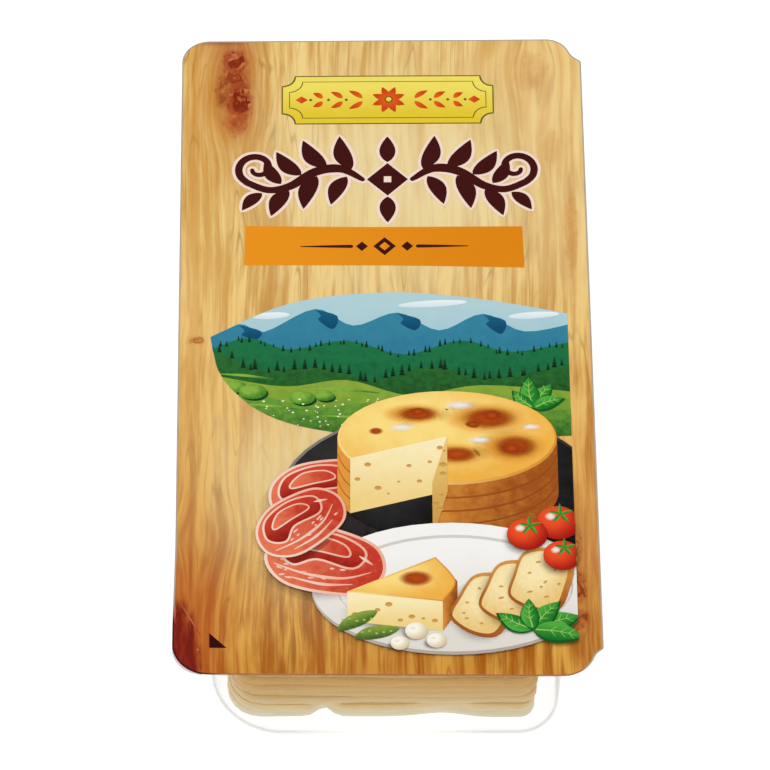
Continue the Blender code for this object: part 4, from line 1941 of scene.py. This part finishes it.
@dataclass
class StillLife(Picture):
    """The cheese board: a cut wheel, cured meat, bread, tomatoes and herbs."""

    left: float = -60.0
    right: float = 57.6
    low: float = -117.5
    high: float = 30.0
    seed: int = 5
    wheel_at: Pair = (19.0, -35.0)
    wheel_half: Pair = (34.0, 18.0)
    wheel_deep: float = 21.0
    cut: Pair = (208.0, 262.0)
    board: tuple = (17.0, -58.0, 50.0, 33.0)
    board_ovals: tuple = (
        (Inks.SHADE, -3.0, -4.0, 5.0, 5.0),
        (Inks.SLATE_EDGE, 0.0, -1.6, 0.0, 0.0),
        (Inks.BLACK, 0.0, -2.6, -0.4, -0.6),
        (Inks.SLATE_EDGE, 0.0, 0.0, 0.0, 0.0),
        (Inks.SLATE, 0.0, 0.0, -1.0, -0.9),
    )
    dish: tuple = (20.0, -92.0, 43.0, 24.0)
    dish_ovals: tuple = (
        (Inks.SHADE, -2.0, -2.4, 4.0, 3.0),
        (Inks.DISH_SHADE, 0.0, -1.2, 0.0, 0.0),
        (Inks.DISH, 0.0, 0.0, 0.0, 0.0),
        (Inks.DISH_SHADE, 0.5, 0.4, -7.0, -5.0),
        (Inks.DISH, 0.5, -0.3, -7.6, -5.4),
    )
    gold: tuple = (
        (12.0, 7.0, 9.0, 4.4), (-10.0, 8.6, 7.0, 3.0),
        (20.0, -4.0, 7.5, 4.6), (2.0, -7.0, 7.0, 3.2),
    )
    burnt: tuple = (
        (14.0, 8.0, 2.6), (20.0, -4.6, 2.8), (-9.0, 9.4, 2.0),
        (8.0, 4.6, 1.8), (-22.0, 2.0, 2.0),
    )
    gleams: tuple = ((-14.0, 3.4, 5.0), (4.0, 12.0, 5.6), (26.0, 3.6, 3.6), (10.0, -1.4, 4.4))
    ham: tuple = (
        (0.9, Inks.HAM, (
            (-15, -3), (-13, 5), (-5, 9.5), (5, 9), (13, 6),
            (16, -1), (12, -8), (2, -10), (-9, -9),
        )),
        (0.7, Inks.HAM_DEEP, ((-12, 1), (-8, 7), (2, 8.2), (10, 4.6), (8, -1), (-2, 0), (-8, -3))),
        (0.55, Inks.HAM, ((-8, 3), (-3, 6.6), (4, 5.6), (6, 2.4), (-1, 2.6))),
    )
    ham_lines: tuple[Points, ...] = (
        ((-13, -4), (-4, -5.6), (6, -5), (13, -1.6)),
        ((-8, -7.4), (1, -8), (9, -6.4)),
        ((9, 3), (13, 1)),
    )
    wedge_top: Points = ((-16.0, -6.0), (13.0, -9.5), (11.0, 7.0))
    wedge_rind: Points = ((17.5, -13.0), (17.5, -2.0))
    wedge_bow: Points = ((17.0, -2.0),)
    wedge_deep: float = 11.0
    loaf: Points = (
        (-9, -9), (-9.6, 0), (-8.6, 9), (-3, 13), (4, 12.6),
        (9, 8), (9.6, -1), (8, -10), (0, -12.4),
    )
    loaf_size: float = 0.92
    gherkin: Points = ((-7, -1), (-3, 2), (3, 2.2), (7, 0.4), (3, -2), (-3, -2.4))
    gherkins: tuple = ((-9.0, -104.5, 24.0), (-3.0, -109.0, 8.0))
    onions: tuple = ((9.0, -108.5, 3.4), (15.0, -112.0, 3.0), (4.0, -113.0, 2.8))
    vine: tuple = ((52.5, -68.0, 6.6), (43.0, -72.5, 6.2), (53.5, -80.5, 5.8))
    sepals: tuple = (20.0, 92.0, 164.0, 236.0, 308.0)
    far_sprig: Points = ((58.0, 11.0), (96.0, 12.0), (22.0, 10.0), (132.0, 9.0))
    near_sprig: Points = ((20.0, 15.0), (52.0, 13.0), (-10.0, 15.0), (150.0, 12.0), (95.0, 11.0))

    def draw(self, press: Press) -> None:
        """Prints the board from back to front.

        Args:
            press: where its fields go.
        """
        foot = [(self.left, self.low), (self.right, self.low)]
        self.start(press, foot + [(self.right, self.high), (self.left, self.high)])
        self.draws = random.Random(self.seed)
        self.rounds(self.board, self.board_ovals)
        self.meat(Spot(-21.0, -55.0, 1.0, 18.0))
        self.herbs(46.0, -24.0, self.far_sprig)
        self.wheel()
        self.rounds(self.dish, self.dish_ovals)
        self.meat(Spot(-19.0, -82.0, 1.15, -12.0))
        self.meat(Spot(-27.0, -68.0, 0.95, 40.0))
        self.wedge(4.0, -88.0)
        self.bread()
        self.tomatoes()
        self.small_things()
        self.herbs(44.0, -108.0, self.near_sprig)

    def rounds(self, plate: tuple, ovals: tuple) -> None:
        """A round board or dish: its shadow, side, face and hollow.

        Args:
            plate: its middle across and along, half its width and half its height.
            ovals: each oval's ink, its shift across and along and its growth each way.
        """
        x, y, wide, tall = plate
        for ink, across, along, wider, taller in ovals:
            self.oval(ink, x + across, y + along, wide + wider, tall + taller)

    def rim(self, angle: float, drop: float = 0.0) -> Pair:
        """A point on the wheel's rim, or on its foot."""
        turn = math.radians(angle)
        x = self.wheel_at[0] + self.wheel_half[0] * math.cos(turn)
        return x, self.wheel_at[1] + self.wheel_half[1] * math.sin(turn) - drop

    def wheel(self) -> None:
        """The wheel: rind, browned top, and the place of the wedge taken out."""
        (x, y), (wide, tall), deep = self.wheel_at, self.wheel_half, self.wheel_deep
        foot = [self.rim(180.0 + 6.0 * step, deep) for step in range(31)]
        self.oval(Inks.SHADE, x - 2.0, y - deep - 2.0, wide + 3.0, tall + 1.0)
        self.lay(Inks.RIND, [self.rim(180.0), *foot, self.rim(360.0)])
        for number in range(3):
            drop = deep * (0.26 + 0.24 * number)
            line = [self.rim(184.0 + 17.2 * step, drop) for step in range(11)]
            self.lay(Inks.RIND_LINE, Pen.stroke(line, (0.2, 0.7, 0.7, 0.2), 3))
        self.oval(Inks.RIND_LIGHT, x, y - 0.6, wide, tall)
        self.oval(Inks.WHEEL_TOP, x, y, wide - 0.6, tall - 0.5)
        self.brown(x, y)
        centre, below = (x, y), (x, y - deep)
        first, last = (self.rim(angle) for angle in self.cut)
        first_foot, last_foot = (self.rim(angle, deep) for angle in self.cut)
        gap = [self.rim(self.cut[0] + step, deep + 0.3) for step in range(0, 55, 6)]
        self.lay(Inks.SLATE, [centre, first, *gap, last])
        left, rear = [centre, first, first_foot, below], [centre, below, last_foot, last]
        self.lay(Inks.CUT, left)
        self.lay(Inks.CUT_SHADE, rear)
        self.holes(left, 9)
        self.holes(rear, 6)

    def brown(self, x: float, y: float) -> None:
        """Browned, blistered patches on the wheel's top."""
        for u, v, wide, tall in self.gold:
            self.oval(Inks.GOLD, x + u, y + v, wide * 1.6, tall * 1.5)
            self.oval(Inks.TOAST, x + u + 1.0, y + v, wide, tall)
        for u, v, size in self.burnt:
            self.oval(Inks.TOAST, x + u, y + v, size * 1.3, size * 0.8)
        for u, v, size in self.gleams:
            self.oval(Inks.GLEAM, x + u, y + v, size, size * 0.34, 8.0)

    def holes(self, face: Outline, count: int) -> None:
        """Small round holes spread over a cut face of four corners.

        Args:
            face: its corners.
            count: how many holes.
        """
        a, b, c, d = face
        for number in range(count):
            s = (number + 0.7) / (count + 0.4)
            t = 0.18 + 0.64 * self.draws.random()
            x, y = (
                (a[axis] * (1 - s) + b[axis] * s) * (1 - t) + (d[axis] * (1 - s) + c[axis] * s) * t
                for axis in (0, 1)
            )
            size = self.draws.uniform(0.45, 1.25)
            self.oval(Inks.HOLE, x, y, size, size * 0.75, sides=16)

    def meat(self, spot: Spot) -> None:
        """A loosely rolled slice of cured meat.

        Args:
            spot: where it lies.
        """
        size, turn = spot.size, spot.turn
        self.oval(Inks.SHADE, spot.x - 1.0, spot.y - 3.5, 18.0 * size, 11.0 * size, turn)
        for fat, ink, points in self.ham:
            shape = Pen.flow(points)
            self.lay(Inks.HAM_FAT, spot.put(Pen.grown(shape, fat)), turn)
            self.lay(ink, spot.put(shape), turn)
        for line in self.ham_lines:
            self.lay(Inks.HAM_FAT, spot.put(Pen.stroke(line, (0.2, 1.0, 0.2))), turn)
        for _ in range(12):
            u, v = self.draws.uniform(-12.0, 12.0), self.draws.uniform(-8.0, -2.0)
            wide, lean = self.draws.uniform(0.4, 1.2), self.draws.uniform(-20.0, 20.0)
            self.lay(Inks.HAM_FAT, spot.put(Pen.ellipse(u, v, wide, 0.32, lean, sides=8)), turn)

    def wedge(self, x: float, y: float) -> None:
        """The wedge that was taken out, lying in front of the wheel."""
        tip, heel, back = Pen.placed(self.wedge_top, x, y)
        below = [(px, py - self.wedge_deep) for px, py in (tip, heel, back)]
        self.oval(Inks.SHADE, x, y - 14.0, 19.0, 8.0)
        self.lay(Inks.CUT, [tip, below[0], below[1], heel])
        self.lay(Inks.RIND, [heel, below[1], *Pen.placed(self.wedge_rind, x, y), back])
        bow = Pen.placed(self.wedge_bow, x, y)
        outer = Pen.flow([tip, tip, heel, heel, *bow, back, back])
        self.lay(Inks.RIND_LIGHT, outer)
        self.lay(Inks.WHEEL_TOP, Pen.grown(outer, -0.5))
        self.oval(Inks.TOAST, x + 5.0, y - 1.0, 6.0, 3.2, 12.0)
        self.holes([tip, heel, below[1], below[0]], 8)

    def bread(self) -> None:
        """Slices of crusty bread leaning on each other."""
        shape = Pen.flow(self.loaf)
        for number in range(3):
            x, y, turn = 30.0 + number * 8.5, -99.0 + number * 4.6, -24.0 + number * 5.0
            spot = Spot(x, y, self.loaf_size, turn)
            inside = Spot(x - 0.5, y, self.loaf_size, turn)
            self.oval(Inks.SHADE, x - 1.5, y - 2.0, 10.5, 13.5, turn)
            self.lay(Inks.CRUST, spot.put(shape), turn)
            self.lay(Inks.CRUMB, inside.put(Pen.grown(shape, -1.5)), turn)
            for _ in range(9):
                u, v = self.draws.uniform(-6.0, 6.0), self.draws.uniform(-8.0, 8.0)
                wide, lean = self.draws.uniform(0.4, 1.1), self.draws.uniform(0.0, 90.0)
                self.lay(Inks.HOLE, spot.put(Pen.ellipse(u, v, wide, 0.45, lean, sides=8)))

    def tomatoes(self) -> None:
        """Small ripe tomatoes on the vine."""
        for x, y, size in self.vine:
            self.oval(Inks.SHADE, x - 0.8, y - 2.0, size + 1.4, size + 0.6)
            self.oval(Inks.TOMATO, x, y, size, size * 0.95)
            gleam = (x - size * 0.34, y + size * 0.36, size * 0.34, size * 0.22)
            self.oval(Inks.GLEAM, *gleam, 35.0)
            for turn in self.sepals:
                self.lay(Inks.LEAF, Pen.leaf(x + 0.8, y + size * 0.5, size * 0.62, 1.1, turn), turn)

    def small_things(self) -> None:
        """Silver onions and gherkins on the dish."""
        for x, y, turn in self.gherkins:
            self.lay(Inks.GHERKIN, Pen.flow(Spot(x, y, 1.0, turn).put(self.gherkin)), turn)
            for step in range(5):
                wart = y + 0.5 * math.sin(step * 2.1)
                self.oval(Inks.LEAF_LIGHT, x - 4.4 + step * 2.2, wart, 0.45, 0.35, sides=8)
        for x, y, size in self.onions:
            self.oval(Inks.SHADE, x - 0.6, y - 1.0, size + 1.0, size * 0.9)
            self.oval(Inks.ONION, x, y, size, size * 0.92)
            self.oval(Inks.GLEAM, x - size * 0.3, y + size * 0.3, size * 0.36, size * 0.24)

    def herbs(self, x: float, y: float, leaves: Points) -> None:
        """A sprig of broad leaves with pale veins.

        Args:
            x: its stalk's place across.
            y: its stalk's place along.
            leaves: each leaf's direction, in degrees, and its length.
        """
        for turn, length in leaves:
            spot = Spot(x, y, 1.0, turn)
            self.lay(Inks.LEAF_DEEP, Pen.leaf(x, y - 0.5, length + 0.8, length * 0.52, turn, 0.5), turn)
            self.lay(Inks.LEAF, Pen.leaf(x, y, length, length * 0.46, turn, 0.6), turn)
            middle = [(1.0, 0.1), (length * 0.5, 0.6), (length * 0.88, 0.1)]
            self.lay(Inks.LEAF_LIGHT, spot.put(Pen.stroke(middle, (0.5, 0.3, 0.1))), turn)
            for share in (0.35, 0.55, 0.72):
                for side in (-1.0, 1.0):
                    start = (length * share, 0.5)
                    tip = (length * (share + 0.12), 0.5 + side * length * 0.13)
                    self.lay(Inks.LEAF_LIGHT, spot.put(Pen.stroke([start, tip], (0.3, 0.1), 2)))


@dataclass
class PeelCorner:
    """The black mark, the crease and a painted highlight at the corner where the film is peeled."""

    mark: Points = ((-54.3, -109.2), (-54.2, -114.7), (-48.9, -114.7))
    crease: Points = ((-64.6, -95.8), (-61.2, -101.8), (-58.2, -107.4), (-56.2, -112.2))
    crease_turn: float = 28.0
    # Painted highlight along the film's lifted left edge.
    lift_highlight: Points = ((-64.5, -96.4), (-64.8, -101.5), (-65.1, -107.0))
    dot: tuple = (-57.6, -115.4, 0.34, 0.5)

    def draw(self, press: Press) -> None:
        """Prints the mark and lays the pale lines where the film is bent; the line along the lifted left
        edge is a painted highlight.

        Args:
            press: where its fields go.
        """
        press.lay(Inks.BLACK, list(self.mark))
        crease = Pen.stroke(self.crease, (0.35, 0.75, 0.8, 0.4))
        press.lay(Inks.CREASE, crease, self.crease_turn)
        # Painted highlight where the lifted edge of the film catches the light.
        press.lay(Inks.CREASE, Pen.stroke(self.lift_highlight, (0.3, 0.6, 0.3)))
        press.lay(Inks.HAM, Pen.ellipse(*self.dot, sides=10))


@dataclass
class Studio:
    """The pale floor, the light and the camera."""

    azimuth: float = math.radians(-0.362)
    elevation: float = math.radians(53.462)
    roll: float = math.radians(0.211)
    distance: float = 2.158
    target: tuple[float, float, float] = (-0.48 * MM, -15.20 * MM, 44.2 * MM)
    lens: float = 322.60
    sensor: float = 36.0
    nearest: float = 0.05
    floor_radius: float = 6.0
    floor_drop: float = 0.02 * MM
    floor_blobs: Blobs = Blobs(900.0, 900.0, 1.0, 1.0)
    floor_tones: tuple[Colour, Colour] = ((182, 182, 182), (178, 178, 179))
    floor_roughness: float = 0.8
    sky: float = 0.86
    floor_glow: float = 1.75
    lamp_power: float = 9.0
    lamp_size: float = 1.6
    lamp_at: tuple[float, float, float] = (-0.9, 0.9, 1.9)

    def build(self) -> None:
        """Makes all of it."""
        self.make_camera()
        self.make_floor()
        self.make_light()

    def make_camera(self) -> None:
        """Puts the camera at the photograph's angle."""
        level = math.cos(self.elevation)
        back = Vector((math.sin(self.azimuth) * level, -math.cos(self.azimuth) * level, 0.0))
        back.z = math.sin(self.elevation)
        right = (-back).cross(Vector((0.0, 0.0, 1.0))).normalized()
        up = right.cross(-back)
        side = right * math.cos(self.roll) + up * math.sin(self.roll)
        turn = Matrix((side, back.cross(side), back)).transposed()
        data = bpy.data.cameras.new("camera")
        data.lens = self.lens
        data.sensor_width = self.sensor
        data.clip_start = self.nearest
        camera = bpy.data.objects.new("camera", data)
        place = Vector(self.target) + back * self.distance
        camera.matrix_world = Matrix.Translation(place) @ turn.to_4x4()
        bpy.context.scene.collection.objects.link(camera)
        bpy.context.scene.camera = camera

    def make_floor(self) -> None:
        """Lays a wide pale floor just under the tray."""
        work = bmesh.new()
        bmesh.ops.create_circle(work, cap_ends=True, segments=64, radius=self.floor_radius)
        bmesh.ops.translate(work, vec=(0.0, 0.0, -self.floor_drop), verts=work.verts)
        mesh = bpy.data.meshes.new("floor")
        work.to_mesh(mesh)
        work.free()
        surface = Surface("floor_white")
        x, y, _ = surface.place()
        light, dark = (srgb(*tone) for tone in self.floor_tones)
        colour = surface.blend(self.floor_blobs.over(surface, x, y), light, dark)
        for name in ("Base Color", "Emission Color"):
            surface.feed(surface.shader.inputs[name], colour)
        surface.fix({"Roughness": self.floor_roughness, "Specular IOR Level": 0.0})
        surface.fix({"Emission Strength": self.floor_glow})
        mesh.materials.append(surface.material)
        floor = bpy.data.objects.new("floor", mesh)
        bpy.context.scene.collection.objects.link(floor)

    def make_light(self) -> None:
        """Sets an even white sky and one wide soft lamp."""
        world = bpy.data.worlds.new("studio")
        world.use_nodes = True
        back = world.node_tree.nodes["Background"]
        back.inputs["Color"].default_value = (1.0, 1.0, 1.0, 1.0)
        back.inputs["Strength"].default_value = self.sky
        bpy.context.scene.world = world
        data = bpy.data.lights.new("soft_lamp", "AREA")
        data.shape = "DISK"
        data.size = self.lamp_size
        data.energy = self.lamp_power
        lamp = bpy.data.objects.new("soft_lamp", data)
        lamp.location = self.lamp_at
        lamp.rotation_euler = (-Vector(self.lamp_at)).to_track_quat("-Z", "Y").to_euler()
        bpy.context.scene.collection.objects.link(lamp)
        bpy.context.scene.view_settings.view_transform = "Standard"
        bpy.context.scene.view_settings.look = "None"


def main() -> None:
    """Builds the scene and reports each piece."""
    logging.basicConfig(level=logging.INFO, format="%(message)s")
    Studio().build()
    tray = Tray()
    made = [tray.build(), tray.build_rim(), LidFilm().build()]
    made += CheesePiles().build()
    press = Press()
    for motif in (Plaque(), Flourish(), Band(), Landscape(), StillLife(), PeelCorner()):
        motif.draw(press)
    made += press.build()
    log.info("levels of ink: %d", max(press.heights.values()))
    for piece in made:
        log.info("%s: %d faces", piece.name, len(piece.data.polygons))


if __name__ == "__main__":
    main()
